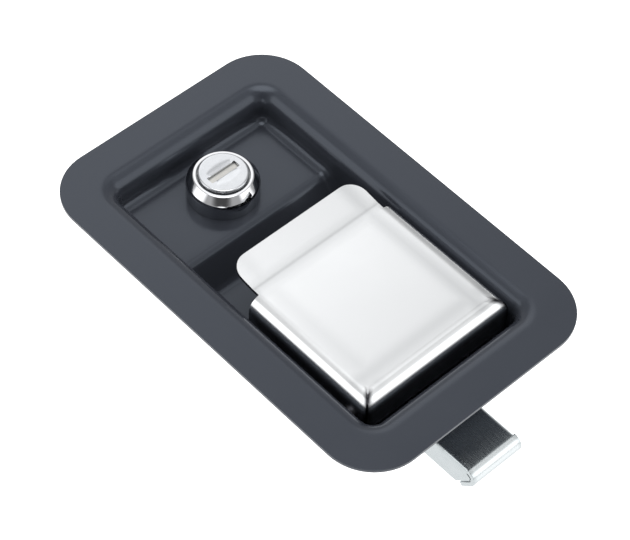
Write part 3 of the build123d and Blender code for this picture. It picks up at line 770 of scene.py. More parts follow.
    def surface(self) -> Grid:
        """Stacks the rings from the flange's edge to the floor's middle, less the lever slot.

        Returns:
            The pan's upper face.
        """
        quarter = np.linspace(0, np.pi / 2, self.arc_count)
        bend, foot = self.bend_ring(np.pi / 2), self.foot_ring(0)
        slot_share = self.slot_half / (self.pan_width / 2 - self.floor_r)
        rings = [self.flange_ring(s) for s in self.flange_shares]
        rings += [self.bend_ring(a) for a in quarter]
        rings += [bend + (foot - bend) * s for s in self.wall_shares]
        rings += [self.foot_ring(a) for a in quarter]
        rings += [self.floor_ring(s) for s in (*self.floor_shares, slot_share, slot_share / 2, 0.0)]
        sheet = Grid(np.stack(rings), closed_columns=True)
        open_end = np.concatenate([sheet.points, sheet.points[:, :1]], axis=1)
        x, y, z = np.moveaxis(Grid(open_end).middles(), -1, 0)
        in_slot = (x > self.slot_start_x) & (x < self.slot_end_x) & (np.abs(y) < self.slot_half)
        sheet.keep = ~(in_slot & (z < self.floor_z + self.edge_r))
        return sheet

    def build(self) -> None:
        """Makes and dresses the pan."""
        piece = make_piece("pressed_pan", [self.surface()], open_side_up=True)
        thicken(piece, self.sheet, self.edge_r)
        dress(piece, BLACK_COAT, Body.PAN, "tray")


@dataclass
class Paddle:
    """Folded paddle: flat panel, rolled bends on three sides, skirts with ears, creased lip."""

    half_width: float = 27.8
    end_x: float = 50.7
    notch_x: float = 3.0
    top_z: float = 3.0
    sheet: float = 1.2
    edge_r: float = 0.3
    bend_r: float = 4.5
    skirt_z: float = -9.0
    pin_x: float = 44.0
    pin_z: float = -7.2
    ear_r: float = 5.2
    lip_half: float = 24.2
    lip_reach: float = 12.7
    lip_flat: float = 1.6
    lip_deg: float = 9.5
    crease_r: float = 9.0
    lip_corner_r: float = 5.5
    corner_slit: float = 0.5
    slit_top_z: float = 1.8
    # width and depths of the painted reflection bands
    reflection_band_width: float = 7.0
    reflection_band_depth: tuple[float, float, float, float] = (1.0, 0.4, 0.7, 0.8)
    # width and fade of the painted corner shade
    corner_shade_width: float = 1.3
    corner_shade_fade: float = 0.15
    flat_count: int = 16
    bend_count: int = 13
    bend_start_deg: float = 19.0
    side_count: int = 12
    side_start: float = 3.0
    ear_count: int = 21
    lip_corner_count: int = 12
    crease_count: int = 7
    lip_columns: tuple[float, float] = (2.0, -2.5)
    row_margin: float = 0.5
    column_margin: float = 0.4
    skirt_share: tuple[float, ...] = (0.06, 0.4, 0.7, 1.0)
    flat_y: Array = field(init=False)
    bend_angle: Array = field(init=False)
    whole: float = field(init=False)
    share: Array = field(init=False)

    def __post_init__(self) -> None:
        """Works out the half section's rows and angles, and each column's share of the length."""
        flat_half = self.half_width - self.bend_r
        self.flat_y = np.append(np.linspace(0, flat_half - self.row_margin, self.flat_count), flat_half)
        lip_edge = np.arcsin((self.lip_half - flat_half) / self.bend_r)
        bend_deg = np.linspace(self.bend_start_deg, 90, self.bend_count)
        self.bend_angle = np.append(lip_edge, np.radians(bend_deg))
        self.whole = self.end_x - self.notch_x
        ear_x = self.pin_x - self.ear_r
        ear = np.linspace(ear_x, self.pin_x + self.ear_r, self.ear_count) - self.notch_x
        spaced = np.linspace(self.side_start, ear_x - self.notch_x, self.side_count)
        edges = [0.0, self.column_margin, self.whole - self.column_margin, self.whole]
        self.share = np.unique(np.concatenate([edges, spaced, ear]).round(4)) / self.whole

    def skirt_bottom(self, x: Array) -> Array:
        """Lower edge of a side skirt: straight, with a round ear about the pin."""
        inside = np.clip(self.ear_r**2 - (x - self.pin_x) ** 2, 0, None)
        return np.minimum(self.skirt_z, self.pin_z - np.sqrt(inside))

    def fold(self, bottom: Array) -> tuple[Array, Array]:
        """Rows of one fold: how far each lies in from the outer side, and its height.

        At an angle a of the bend, a row lies in by r(1 - sin a) and stands r cos a above the skirt,
        whose rows are shares of the way down to its lower edge.

        Args:
            bottom: Lower edge at each column.

        Returns:
            Inset by row, and height by column and row.
        """
        inset = np.concatenate([
            [self.bend_r], self.bend_r * (1 - np.sin(self.bend_angle)), np.zeros(len(self.skirt_share))
        ])
        side_z = self.top_z - self.bend_r
        bend_z = side_z + self.bend_r * np.cos(np.append(0, self.bend_angle))
        skirt = side_z + (bottom[:, None] - side_z) * np.array(self.skirt_share)
        height = np.concatenate([np.broadcast_to(bend_z, (len(bottom), len(bend_z))), skirt], axis=1)
        return inset, height

    def slit(self, height: Array) -> Array:
        """How far a fold's row stands back from its mitre: half the slit over cos 45, below its top."""
        return np.where(height < self.slit_top_z, self.corner_slit / np.sqrt(2), 0.0)

    def panel(self) -> Grid:
        """The flat panel from the notch line to the end bend, all at the top's height.

        Returns:
            The panel's surface, by column along X and row across Y.
        """
        x = self.notch_x + self.share * (self.whole - self.bend_r)
        xx, yy = np.meshgrid(x, mirrored(self.flat_y), indexing="ij")
        return Grid(np.stack([xx, yy, np.full_like(xx, self.top_z)], -1))

    def side(self, sign: int) -> Grid:
        """A long side's bend and skirt, from the notch to the mitre.

        Each row of the fold ends as far from the bolt end as it lies in from the outer side.

        Args:
            sign: 1 for the +Y side, -1 for the -Y side.

        Returns:
            The side's surface, by column along X and row across the fold.
        """
        outer_x = self.notch_x + self.share * self.whole
        inset, height = self.fold(self.skirt_bottom(outer_x))
        along = self.notch_x + self.share[:, None] * (self.whole - inset)
        along[-1] -= self.slit(height[-1])
        across = sign * np.broadcast_to(self.half_width - inset, along.shape)
        return Grid(np.stack([along, across, height], -1))

    def end(self) -> Grid:
        """The bolt end's bend and skirt, between the two mitres.

        Each row of the fold reaches as far across as the half width less how far it lies in.

        Returns:
            The end's surface, by column across Y and row across the fold.
        """
        share = mirrored(self.flat_y) / self.flat_y[-1]
        inset, height = self.fold(np.full(len(share), self.skirt_z))
        across = share[:, None] * (self.half_width - inset - self.slit(height[0]))
        along = np.broadcast_to(self.end_x - inset, across.shape)
        return Grid(np.stack([along, across, height], -1))

    def lip(self) -> Grid:
        """The lip: a flat start, an arc at the crease and a straight rise, narrowed at its corners.

        At a distance d past the crease it is up by r less the root of r squared less d squared on
        the arc, and beyond the arc by the tangent of its angle for each further unit. Its half
        width falls along a corner's arc in the same way.

        Returns:
            The lip's surface, by column along X and row across Y.
        """
        crease_x = self.notch_x - self.lip_flat
        turn = np.radians(self.lip_deg)
        free_x = self.notch_x - self.lip_reach
        quarter = np.linspace(0, np.pi / 2, self.lip_corner_count)
        corner = free_x + self.lip_corner_r * (1 - np.cos(quarter))
        bend = crease_x - self.crease_r * np.sin(np.linspace(0, turn, self.crease_count))
        start = [self.notch_x, self.notch_x - self.column_margin, *self.lip_columns]
        x = np.unique(np.concatenate([corner, bend, start]).round(5))[::-1]
        on_arc = np.clip(crease_x - x, 0, self.crease_r * np.sin(turn))
        arc_z = self.crease_r - np.sqrt(self.crease_r**2 - on_arc**2)
        rise = np.clip(crease_x - x - self.crease_r * np.sin(turn), 0, None) * np.tan(turn)
        into = np.clip(self.lip_corner_r - (x - free_x), 0, None)
        half = self.lip_half - self.lip_corner_r + np.sqrt(self.lip_corner_r**2 - into**2)
        y = mirrored(np.append(self.flat_y, self.lip_half))
        across = y / self.lip_half * half[:, None]
        along = np.broadcast_to(x[:, None], across.shape)
        fall = np.zeros_like(y)
        fall[[0, -1]] = self.bend_r * (1 - np.cos(self.bend_angle[0]))
        fade = np.clip((x - crease_x) / self.lip_flat, 0, 1)
        height = self.top_z + (arc_z + rise)[:, None] - fade[:, None] * fall
        return Grid(np.stack([along, across, height], -1))

    def mark(self, mesh: bpy.types.Mesh) -> None:
        """Stores painted shade: darker bands for the reflection near the bends and the crease, and
        near-black shade along the corners' mitres.

        A painted reflection band is a bell curve of the distance from a band inside each bend or from the
        crease, as high as the depth of the far side, near side, end or crease, whichever is most. The
        painted corner shade is a flat bell, exp of minus the fourth power of the distance from the
        corner's mitre over its width, and grows with the drop below the top.

        Args:
            mesh: The paddle's mesh, in metres.
        """
        x, y, z = vertices_mm(mesh).T
        band = self.reflection_band_width / 2
        past_side = self.half_width - self.bend_r
        past_end = x - (self.end_x - self.bend_r)
        past_crease = x - (self.notch_x - self.lip_flat)
        past_reflection_band = np.array([y - past_side, -y - past_side, past_end, past_crease - band])
        away = (past_reflection_band + band) / band
        # darker painted bands, in place of the reflection of the curving panel edges
        bell = np.array(self.reflection_band_depth)[:, None] * np.exp(-2 * away**2)
        reflection_band_shade = bell.max(axis=0) * (z > self.top_z - self.bend_r / 2)
        from_mitre = (past_end - (np.abs(y) - past_side)) / self.corner_shade_width
        in_corner = np.clip(np.minimum(past_end, self.top_z - z) / self.corner_shade_fade, 0, 1)
        # painted corner shade, near-black along each mitre
        mitre = np.exp(-(from_mitre**4)) * in_corner
        store_mark(mesh, PAINTED_REFLECTION_BAND, reflection_band_shade)
        store_mark(mesh, PAINTED_CORNER_SHADE, mitre)

    def build(self) -> None:
        """Makes and dresses the paddle."""
        grids = [self.panel(), self.side(-1), self.side(1), self.end(), self.lip()]
        piece = make_piece("folded_paddle", grids, open_side_up=True)
        self.mark(piece.data)
        thicken(piece, self.sheet, self.edge_r)
        dress(piece, SATIN_STAINLESS, Body.PADDLE, "paddle")


@dataclass
class Bolt:
    """Spring bolt: folded channel, rounded nose with its ramp, tail tongue and lug."""

    top_z: float = -20.2
    foot_z: float = -29.2
    half_width: float = 9.5
    sheet: float = 1.4
    edge_r: float = 0.22
    bend_r: float = 1.6
    nose_x: float = 73.6
    nose_r: float = 3.2
    ramp_deg: float = 47.0
    slit: float = 0.4
    tail_x: float = 22.0
    tongue_half: float = 4.0
    lug_x: float = -11.4
    lug_z: float = -27.3
    lug_r: float = 2.4
    window: tuple[float, float] = (40.7, 56.5)
    window_half: float = 7.2
    nib_r: float = 2.1
    nib_length: float = 2.6
    spring_z: float = -25.4
    # fade of the painted nose highlight
    highlight_fade: float = 0.8
    bend_count: int = 8
    flange_count: int = 26
    nose_count: int = 22
    ramp_row: float = 0.08
    front_columns: tuple[float, ...] = (10.0, 0.5, 0.0)

    def flat_rows(self) -> Array:
        """Places across the top plate, between its two bends."""
        return mirrored(np.array([0, self.tongue_half, self.window_half, self.half_width - self.bend_r]))

    def front_at(self, z: Array) -> Array:
        """Front edge of a side flange: upright under the top, round behind the nose, then the ramp.

        The round part is the root of r squared less the height squared in front of the arc's middle,
        and the ramp falls back by its drop over the tangent of its angle.

        Args:
            z: Heights on the flange.

        Returns:
            X of the front edge at each height.
        """
        inner_r = self.nose_r - self.sheet - self.slit
        centre_z = self.top_z - self.nose_r
        ramp = np.radians(self.ramp_deg)
        bend_z = centre_z - inner_r * np.cos(ramp)
        round_x = self.nose_x + np.sqrt(np.clip(inner_r**2 - (z - centre_z) ** 2, 0, None))
        ramp_x = self.nose_x + inner_r * np.sin(ramp) - (bend_z - z) / np.tan(ramp)
        upright_x = np.full_like(z, self.nose_x)
        return np.select([z > centre_z + inner_r, z > bend_z], [upright_x, round_x], ramp_x)

    def channel(self) -> Grid:
        """Top plate, bends and side flanges, less the window for the lever.

        A bend is a quarter circle, r(1 - sin a) in from the side and r(1 - cos a) below the top,
        and the last columns follow the front edge at each height.

        Returns:
            The channel's surface, by column along X and row across its section.
        """
        turn = np.linspace(0, np.pi / 2, self.bend_count)[1:]
        flange_z = np.linspace(self.top_z - self.bend_r, self.foot_z, self.flange_count)[1:]
        bend_y = self.half_width - self.bend_r * (1 - np.sin(turn))
        bend_z = self.top_z - self.bend_r * (1 - np.cos(turn))
        side_y = np.append(bend_y, np.full(len(flange_z), self.half_width))
        side_z = np.append(bend_z, flange_z)
        flat = self.flat_rows()
        y = np.concatenate([-side_y[::-1], flat, side_y])
        z = np.concatenate([side_z[::-1], np.full(len(flat), self.top_z), side_z])
        front = self.front_at(z)
        plain = np.array([self.tail_x, (self.tail_x + self.window[0]) / 2, *self.window])[:, None]
        plain = np.broadcast_to(plain, (len(plain), len(y)))
        x = np.concatenate([plain, front - np.array(self.front_columns)[:, None]])
        points = np.stack([x, np.broadcast_to(y, x.shape), np.broadcast_to(z, x.shape)], -1)
        sheet = Grid(points)
        mid_x, mid_y, mid_z = np.moveaxis(sheet.middles(), -1, 0)
        inside = (mid_x > self.window[0]) & (mid_x < self.window[1]) & (np.abs(mid_y) < self.window_half)
        sheet.keep = ~(inside & (mid_z > self.top_z - self.edge_r))
        return sheet

    def strip(self, line: Array, rows: Array) -> Grid:
        """Carries straight rows across Y along a line of X and Z."""
        x, y = np.meshgrid(line[:, 0], rows, indexing="ij")
        return Grid(np.stack([x, y, np.broadcast_to(line[:, 1:], x.shape)], -1))

    def nose(self) -> Grid:
        """The nose: an arc from the top plate and the straight ramp under it, carried across Y.

        Returns:
            The nose's surface, by point down its line and row across Y.
        """
        angle = np.radians(np.linspace(90, self.ramp_deg - 90, self.nose_count))
        arc_x = self.nose_x + self.nose_r * np.cos(angle)
        arc_z = self.top_z - self.nose_r + self.nose_r * np.sin(angle)
        arc = np.column_stack([arc_x, arc_z])
        drop = arc_z[-1] - self.foot_z
        foot = arc[-1] - [drop / np.tan(np.radians(self.ramp_deg)), drop]
        near = arc[-1] + (foot - arc[-1]) * self.ramp_row
        rows = np.concatenate([[-self.half_width], self.flat_rows(), [self.half_width]])
        return self.strip(np.vstack([arc, near, foot]), rows)

    def tongue(self) -> Grid:
        """The tail tongue: a straight line, bent down at its end into a lug, carried across Y.

        Returns:
            The tongue's surface, by point along its line and row across Y.
        """
        bend = (self.lug_x, self.top_z, self.lug_r)
        line = rounded_path([(self.tail_x, self.top_z, 0), bend, (self.lug_x, self.lug_z, 0)], False)
        return self.strip(line, mirrored(np.array([0, self.tongue_half])))

    def tail_wall(self, count: int = 64) -> Grid:
        """The tail wall and the nib that holds the spring, as rings from the nib's tip to the back.

        A ring is a circle on the nib. On the wall it is a square's edge, the circle over the larger
        of its two coordinates, stretched to the wall's sides.

        Args:
            count: Points round each ring.

        Returns:
            The closed surface.
        """
        circle = unit_circle(count)
        square = circle / np.abs(circle).max(axis=1, keepdims=True)
        low, high = self.foot_z, self.top_z - self.sheet - self.slit
        middle = np.array([0, (low + high) / 2])
        wall = middle + square * [self.half_width - self.sheet / 2, (high - low) / 2]
        nib_middle = np.array([0, self.spring_z])
        nib = nib_middle + circle * self.nib_r
        tip_x, back_x = self.tail_x - self.nib_length, self.tail_x + self.sheet
        rings = [
            (nib * 0 + nib_middle, tip_x), (nib, tip_x), (nib, self.tail_x), (wall, self.tail_x),
            (wall, back_x), (wall * 0 + middle, back_x),
        ]
        points = np.stack([np.column_stack([np.full(count, x), plan]) for plan, x in rings])
        return Grid(points, closed_columns=True)

    def mark(self, mesh: bpy.types.Mesh) -> None:
        """Stores a painted highlight on the nose: its upper half is made lighter, faded to the top plate
        and the ramp.

        Args:
            mesh: The bolt's mesh, in metres.
        """
        x, y, z = vertices_mm(mesh).T
        forward = np.clip((x - self.nose_x) / self.highlight_fade, 0, 1)
        upward = np.clip((z - self.top_z + self.nose_r) / self.highlight_fade, 0, 1)
        store_mark(mesh, PAINTED_NOSE_HIGHLIGHT, forward * upward * (np.abs(y) < self.half_width - self.slit))

    def build(self) -> None:
        """Makes and dresses the bolt and its tail wall."""
        grids = [self.channel(), self.nose(), self.tongue()]
        piece = make_piece("spring_bolt", grids, open_side_up=True)
        self.mark(piece.data)
        thicken(piece, self.sheet, self.edge_r)
        dress(piece, ZINC_PLATE, Body.BOLT, "bolt")
        dress(make_piece("bolt_tail_wall", [self.tail_wall()]), ZINC_PLATE, Body.BOLT)


@dataclass
class Lock:
    """Cam lock: chrome cap, slotted plug and threaded barrel."""

    centre: tuple[float, float] = (-39.2, 0.0)
    face_z: float = -0.1
    shelf_z: float = -9.2
    cap_top_z: float = -1.15
    cap_base_r: float = 11.1
    cap_rim_r: float = 8.95
    cap_hole_r: float = 8.0
    cap_wall: float = 0.7
    cap_skirt: float = 5.4
    cap_shoulder_r: float = 2.2
    rim_round: float = 0.5
    plug_head_r: float = 7.6
    plug_r: float = 5.9
    plug_step_z: float = -6.4
    plug_end_z: float = -28.0
    plug_edge_r: float = 0.6
    slot_width: float = 2.4
    slot_length: float = 10.6
    skin: float = 0.7
    pocket_end_z: float = -6.2
    pocket_x: tuple[float, float] = (-1.55, 2.05)
    pocket_length: float = 11.1
    keyway: tuple[float, float] = (2.0, 8.0)
    keyway_end_z: float = -20.8
    barrel_r: float = 9.0
    barrel_flat: float = 8.0
    barrel_end_z: float = -27.0
    thread_pitch: float = 1.0
    thread_depth: float = 0.55
    play: float = 0.06
    head_gap: float = 0.05
    cap_edge_r: float = 0.15
    hollow_edge_r: float = 0.1
    plug_end_r: float = 0.2
    slot_edge: float = 0.1
    face_shares: tuple[float, ...] = (0.05, 0.5, 0.96)
    thread_rows: int = 10
    cap_count: int = 160
    cap_steps: int = 13
    plug_steps: int = 9

    def cap_profile(self) -> Array:
        """The cap's wall: skirt, rounded shoulder, flank, rim, and the hollow behind it.

        Returns:
            Radius and height of each point, round the wall.
        """
        inner_base, inner_rim = self.cap_base_r - self.cap_wall, self.cap_rim_r - self.cap_wall
        under_z = self.cap_top_z - self.cap_wall
        skirt_z = self.shelf_z + self.cap_skirt
        return rounded_path([
            (self.cap_base_r, self.shelf_z, self.cap_edge_r),
            (self.cap_base_r, skirt_z, self.cap_shoulder_r),
            (self.cap_rim_r, self.cap_top_z, self.rim_round),
            (self.cap_hole_r, self.cap_top_z, self.cap_edge_r),
            (self.cap_hole_r, under_z, self.hollow_edge_r),
            (inner_rim, under_z, 0),
            (inner_base, skirt_z, 0),
            (inner_base, self.shelf_z, self.hollow_edge_r),
        ], True, self.cap_steps)

    def slot_ring(self, low_x: float, high_x: float, length: float, count: int) -> Array:
        """Points evenly spaced round a rectangle about the key slot, from the middle of its +X side.

        They are places along the rectangle's length round, and the nearest to a corner moves to it.

        Args:
            low_x: Lower side, from the lock's middle.
            high_x: Higher side, from the lock's middle.
            length: Length along Y.
            count: Number of points, a multiple of four.

        Returns:
            X and Y of each point, from the lock's middle.
        """
        corners = np.array([
            (high_x, 0), (high_x, length / 2), (low_x, length / 2), (low_x, -length / 2),
            (high_x, -length / 2), (high_x, 0),
        ])
        runs = np.linalg.norm(np.diff(corners, axis=0), axis=1)
        reached = np.append(0, np.cumsum(runs))
        turns = reached[1:-1]
        wanted = np.arange(count) * reached[-1] / count
        wanted[np.abs(wanted[:, None] - turns).argmin(axis=0)] = turns
        return np.column_stack([np.interp(wanted, reached, corners[:, k]) for k in (0, 1)])

    def plug_surface(self, count: int = 120) -> Grid:
        """The plug: round body, head with a rounded edge, face with its slot, pocket and keyway.

        Rings go up the outside as circles, cross the face while they change into the slot's
        rectangle, and go down inside it.

        Args:
            count: Points round each ring.

        Returns:
            The closed surface.
        """
        circle = unit_circle(count)
        outside = rounded_path([
            (0, self.plug_end_z, 0),
            (self.plug_r, self.plug_end_z, self.plug_end_r),
            (self.plug_r, self.plug_step_z, 0),
            (self.plug_head_r, self.plug_step_z, 0),
            (self.plug_head_r, self.face_z, self.plug_edge_r),
            (0, self.face_z, 0),
        ], False, self.plug_steps)[:-1]
        rings = [at_height(circle * r, z) for r, z in outside]
        half = self.slot_width / 2
        slot = self.slot_ring(-half, half, self.slot_length, count)
        rim = circle * outside[-1, 0]
        rings += [at_height(rim + (slot - rim) * s, self.face_z) for s in self.face_shares]
        pocket = self.slot_ring(*self.pocket_x, self.pocket_length, count)
        way = self.slot_ring(-self.keyway[0] / 2, self.keyway[0] / 2, self.keyway[1], count)
        skin_z = self.face_z - self.skin
        inside = [
            (slot, self.face_z - self.slot_edge), (slot, skin_z), (pocket, skin_z),
            (pocket, self.pocket_end_z), (way, self.pocket_end_z),
            (way, self.keyway_end_z), (way * 0, self.keyway_end_z),
        ]
        rings += [at_height(plan, z) for plan, z in inside]
        points = np.stack(rings) + [*self.centre, 0]
        return Grid(points, closed_columns=True)

    def barrel_surface(self, count: int = 128) -> Grid:
        """The cast barrel: bore, head in the cap, and a thread cut off by two flats.

        The radius on the thread is the crest less the thread wave of height over pitch less angle
        over a full turn, and at the flats it is cut to the flat's distance over the cosine.

        Args:
            count: Points round each ring.

        Returns:
            The closed surface.
        """
        angle = angles(count)
        inset = self.cap_wall + self.head_gap
        top_z = self.cap_top_z - inset
        head_r, base_r = self.cap_rim_r - inset, self.cap_base_r - inset
        bore_r, seat_r = self.plug_r + self.play, self.plug_head_r + self.play
        step_z = self.plug_step_z - self.play
        head = np.array([
            (bore_r, self.barrel_end_z), (bore_r, step_z), (seat_r, step_z), (seat_r, top_z),
            (head_r, top_z), (base_r, self.shelf_z + self.cap_skirt), (base_r, self.shelf_z),
        ])
        rows = int((self.shelf_z - self.barrel_end_z) / self.thread_pitch * self.thread_rows)
        height = np.linspace(self.shelf_z, self.barrel_end_z, rows)[:, None]
        wave = thread_wave(height / self.thread_pitch - angle / FULL_TURN)
        end_cut = np.clip(height - self.barrel_end_z - self.thread_depth, -self.thread_depth, 0)
        radius = np.minimum(self.barrel_r - self.thread_depth * wave, self.barrel_r + end_cut)
        radius = np.minimum(radius, self.barrel_flat / np.maximum(np.abs(np.cos(angle)), TINY))
        thread = around(self.centre, radius, angle, height)
        points = np.concatenate([revolve(head, self.centre, count), thread])
        return Grid(points, closed_rows=True, closed_columns=True)

    def build(self) -> None:
        """Makes and dresses the cap, the plug and the barrel."""
        wall = revolve(self.cap_profile(), self.centre, self.cap_count)
        cap = make_piece("lock_cap", [Grid(wall, closed_rows=True, closed_columns=True)])
        dress(cap, CHROME_PLATE, Body.PAN, "lock_bezel")
        plug = make_piece("slotted_plug", [self.plug_surface()])
        dress(plug, FACE_CHROME, Body.PLUG, "lock_plug")
        barrel = make_piece("threaded_barrel", [self.barrel_surface()])
        dress(barrel, CAST_ZINC, Body.PAN, "lock_housing")


@dataclass
class Fixings:
    """Weld studs, rivets and the pivot pin."""

    stud_r: float = 2.5
    stud_base_r: float = 3.3
    stud_base: float = 0.8
    stud_top_z: float = -19.7
    stud_length: float = 12.0
    stud_centre_x: float = 10.0
    stud_spacing: tuple[float, float] = (40.0, 46.0)
    stud_pitch: float = 0.8
    stud_depth: float = 0.42
    stud_chamfer: float = 0.625
    collar_edge_r: float = 0.4
    thread_rows: int = 12
    rivet_r: float = 2.0
    rivet_head_r: float = 3.5
    rivet_head: float = 1.3
    rivet_x: tuple[float, float] = (11.0, 41.0)
    rivet_y: float = 16.05
    rivet_span: tuple[float, float] = (-18.5, -21.2)
    pin_r: float = 2.5
    pin_head_r: float = 4.0
    pin_head: float = 1.8
    pin_x: float = 44.0
    pin_z: float = -7.2
    pin_seat_y: float = 30.5
    pin_tail: float = 2.4
    pin_head_edge_r: float = 0.9
    pin_seat_edge_r: float = 0.1
    pin_end_edge_r: float = 0.5
    dome_count: int = 9
    rivet_count: int = 40
    pin_count: int = 48

    def stud(self, x: float, y: float, count: int = 36) -> Grid:
        """One weld stud: a collar, a thread and a chamfered end.

        The thread's radius is the crest less the thread wave of height over pitch less angle over
        a full turn, and the end chamfer takes it down one for one.

        Args:
            x: Place along the pan.
            y: Place across the pan.
            count: Points round it.

        Returns:
            The closed surface.
        """
        angle = angles(count)
        end_z = self.stud_top_z - self.stud_length
        base_z = self.stud_top_z - self.stud_base
        rows = int((base_z - end_z) / self.stud_pitch * self.thread_rows)
        height = np.linspace(base_z, end_z, rows)[:, None]
        wave = thread_wave(height / self.stud_pitch - angle / FULL_TURN)
        chamfer = self.stud_r - np.clip(self.stud_chamfer - (height - end_z), 0, None)
        radius = np.minimum(self.stud_r - self.stud_depth * wave, chamfer)
        thread = around((x, y), radius, angle, height)
        collar = rounded_path([
            (0, self.stud_top_z, 0), (self.stud_base_r, self.stud_top_z, 0),
            (self.stud_base_r, base_z, self.collar_edge_r), (self.stud_r, base_z, 0),
        ], False)
        tip = revolve(np.array([(0.0, end_z)]), (x, y), count)
        return Grid(np.concatenate([revolve(collar, (x, y), count), thread, tip]), closed_columns=True)

    def rivet(self, x: float, y: float) -> Grid:
        """One rivet: two domed heads on a shank, turned about its axis.

        At each angle of a quarter turn, a dome's radius is the head's times the sine and its rise
        the head's times the cosine.

        Args:
            x: Place along the pan.
            y: Place across the pan.

        Returns:
            The closed surface.
        """
        top, low = self.rivet_span
        turn = np.radians(np.linspace(0, 90, self.dome_count))
        dome_r = self.rivet_head_r * np.sin(turn)
        dome_z = self.rivet_head * np.cos(turn)
        upper = np.column_stack([dome_r, top + dome_z])
        lower = np.column_stack([dome_r, low - dome_z])[::-1]
        profile = np.vstack([upper, [(self.rivet_r, top), (self.rivet_r, low)], lower])
        return Grid(revolve(profile, (x, y), self.rivet_count), closed_columns=True)

    def pin(self) -> Grid:
        """The pivot pin: a head and a shank with rounded edges, turned about a line along Y.

        Returns:
            The closed surface.
        """
        head_y = -self.pin_seat_y
        end_y = self.pin_seat_y + self.pin_tail
        profile = rounded_path([
            (0, head_y - self.pin_head, 0),
            (self.pin_head_r, head_y - self.pin_head, self.pin_head_edge_r),
            (self.pin_head_r, head_y, self.pin_seat_edge_r),
            (self.pin_r, head_y, 0),
            (self.pin_r, end_y, self.pin_end_edge_r),
            (0, end_y, 0),
        ], False)
        x, z, y = np.moveaxis(revolve(profile, (self.pin_x, self.pin_z), self.pin_count), -1, 0)
        return Grid(np.stack([x, y, z], -1), closed_columns=True)

    def build(self) -> None:
        """Makes and dresses the studs, rivets and pin."""
        half_x, half_y = self.stud_spacing[0] / 2, self.stud_spacing[1] / 2
        signs = [(a, b) for a in (-1, 1) for b in (-1, 1)]
        studs = [self.stud(self.stud_centre_x + a * half_x, b * half_y) for a, b in signs]
        dress(make_piece("clamp_studs", studs), ZINC_PLATE, Body.PAN, "mounting_studs")
        rivets = [self.rivet(x, b * self.rivet_y) for x in self.rivet_x for b in (-1, 1)]
        dress(make_piece("domed_rivets", rivets), ZINC_PLATE, Body.PAN, "housing_rivets")
        dress(make_piece("pivot_shank", [self.pin()]), DARK_STEEL, Body.PAN, "pivot_pin")


@dataclass
class Springs:
    """Torsion spring on the pivot pin and compression spring behind the bolt."""

    pin_x: float = 44.0
    pin_z: float = -7.2
    torsion_y: float = 8.7
    torsion_r: float = 3.6
    torsion_wire_r: float = 0.6
    torsion_turns: int = 5
    torsion_pitch: float = 1.35
    blend_margin: float = 0.5
    leg_top_z: float = 1.0
    leg_foot_z: float = -18.4
    bolt_start_x: float = 4.0
    bolt_end_x: float = 21.5
    bolt_z: float = -25.4
    bolt_r: float = 3.2
    bolt_wire_r: float = 0.45
    bolt_turns: int = 7
    bolt_travel: float = 8.8
    turn_count: int = 36
    leg_gap: float = 0.5
    leg_count: int = 6

    def torsion_path(self) -> Array:
        """A helix about the pin, with a straight leg up at its start and one down at its end.

        At turn t the wire is at the mean radius times the cosine and minus the sine of t, one pitch
        further along Y for each full turn, and the legs run on along the wire's own direction.

        Returns:
            Points of the wire's middle line.
        """
        turn = np.linspace(0, self.torsion_turns * FULL_TURN, self.turn_count * self.torsion_turns)
        lean = self.torsion_pitch / FULL_TURN
        x = self.pin_x + self.torsion_r * np.cos(turn)
        z = self.pin_z - self.torsion_r * np.sin(turn)
        y = self.torsion_y + lean * turn
        coil = np.column_stack([x, y, z])
        ahead = np.array([0, lean / self.torsion_r, -1.0])
        up = np.linspace(self.leg_top_z - self.pin_z, self.leg_gap, self.leg_count)[:, None]
        down = np.linspace(self.leg_gap, self.pin_z - self.leg_foot_z, self.leg_count)[:, None]
        return np.vstack([coil[0] - ahead * up, coil, coil[-1] + ahead * down])

    def bolt_path(self) -> Array:
        """A plain helix about a line along X.

        At turn t the wire is at the radius times minus the sine and the cosine of t, and X grows
        evenly from one end to the other.

        Returns:
            Points of the wire's middle line.
        """
        turn = np.linspace(0, self.bolt_turns * FULL_TURN, self.turn_count * self.bolt_turns)
        x = np.linspace(self.bolt_start_x, self.bolt_end_x, len(turn))
        return np.column_stack([x, -self.bolt_r * np.sin(turn), self.bolt_z + self.bolt_r * np.cos(turn)])

    def build(self) -> None:
        """Makes and dresses both springs: the torsion spring on the pin and the push spring behind the
        bolt.
        """
        wire = Grid(tube(self.torsion_path(), self.torsion_wire_r), closed_columns=True)
        torsion = make_piece("torsion_spring", [wire])
        coat(torsion, SPRING_WIRE, "paddle_spring")
        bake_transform(torsion)
        wire = Grid(tube(self.bolt_path(), self.bolt_wire_r), closed_columns=True)
        push = make_piece("push_spring", [wire])
        dress(push, SPRING_WIRE, Body.PAN, "bolt_spring")
        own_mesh(push)


@dataclass
class PlainParts:
    """Solids that are shown as they are, with their finishes."""

    finishes: tuple[tuple[str, Finish], ...] = (
        ("pull_lever", DARK_STEEL),
        ("pin_retainer", SPRING_WIRE),
        ("bolt_housing", ZINC_PLATE),
        ("lock_washer", ZINC_PLATE),
        ("lock_nut", ZINC_PLATE),
        ("lock_wafers", WAFER_BRASS),
        ("dust_shutter", SHUTTER_STEEL),
        ("shutter_pin", SPRING_WIRE),
        ("lock_cam", ZINC_PLATE),
        ("cam_washer", ZINC_PLATE),
        ("cam_screw", ZINC_PLATE),
    )

    def build(self) -> None:
        """Dresses each solid."""
        for node, finish in self.finishes:
            paint(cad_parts[node], finish)
            log.info("%s: kept, %s", node, finish.name)


@dataclass(frozen=True)
class Lamp:
    """A round soft patch of the sky, full inside one angle and faded out at another."""

    azimuth_deg: float
    elevation_deg: float
    inner_deg: float
    outer_deg: float
    level: float

    def towards(self) -> tuple[float, float, float]:
        """Returns the unit direction from the object to the patch's middle."""
        a, e = np.radians([self.azimuth_deg, self.elevation_deg])
        return (np.cos(a) * np.cos(e), np.sin(a) * np.cos(e), np.sin(e))


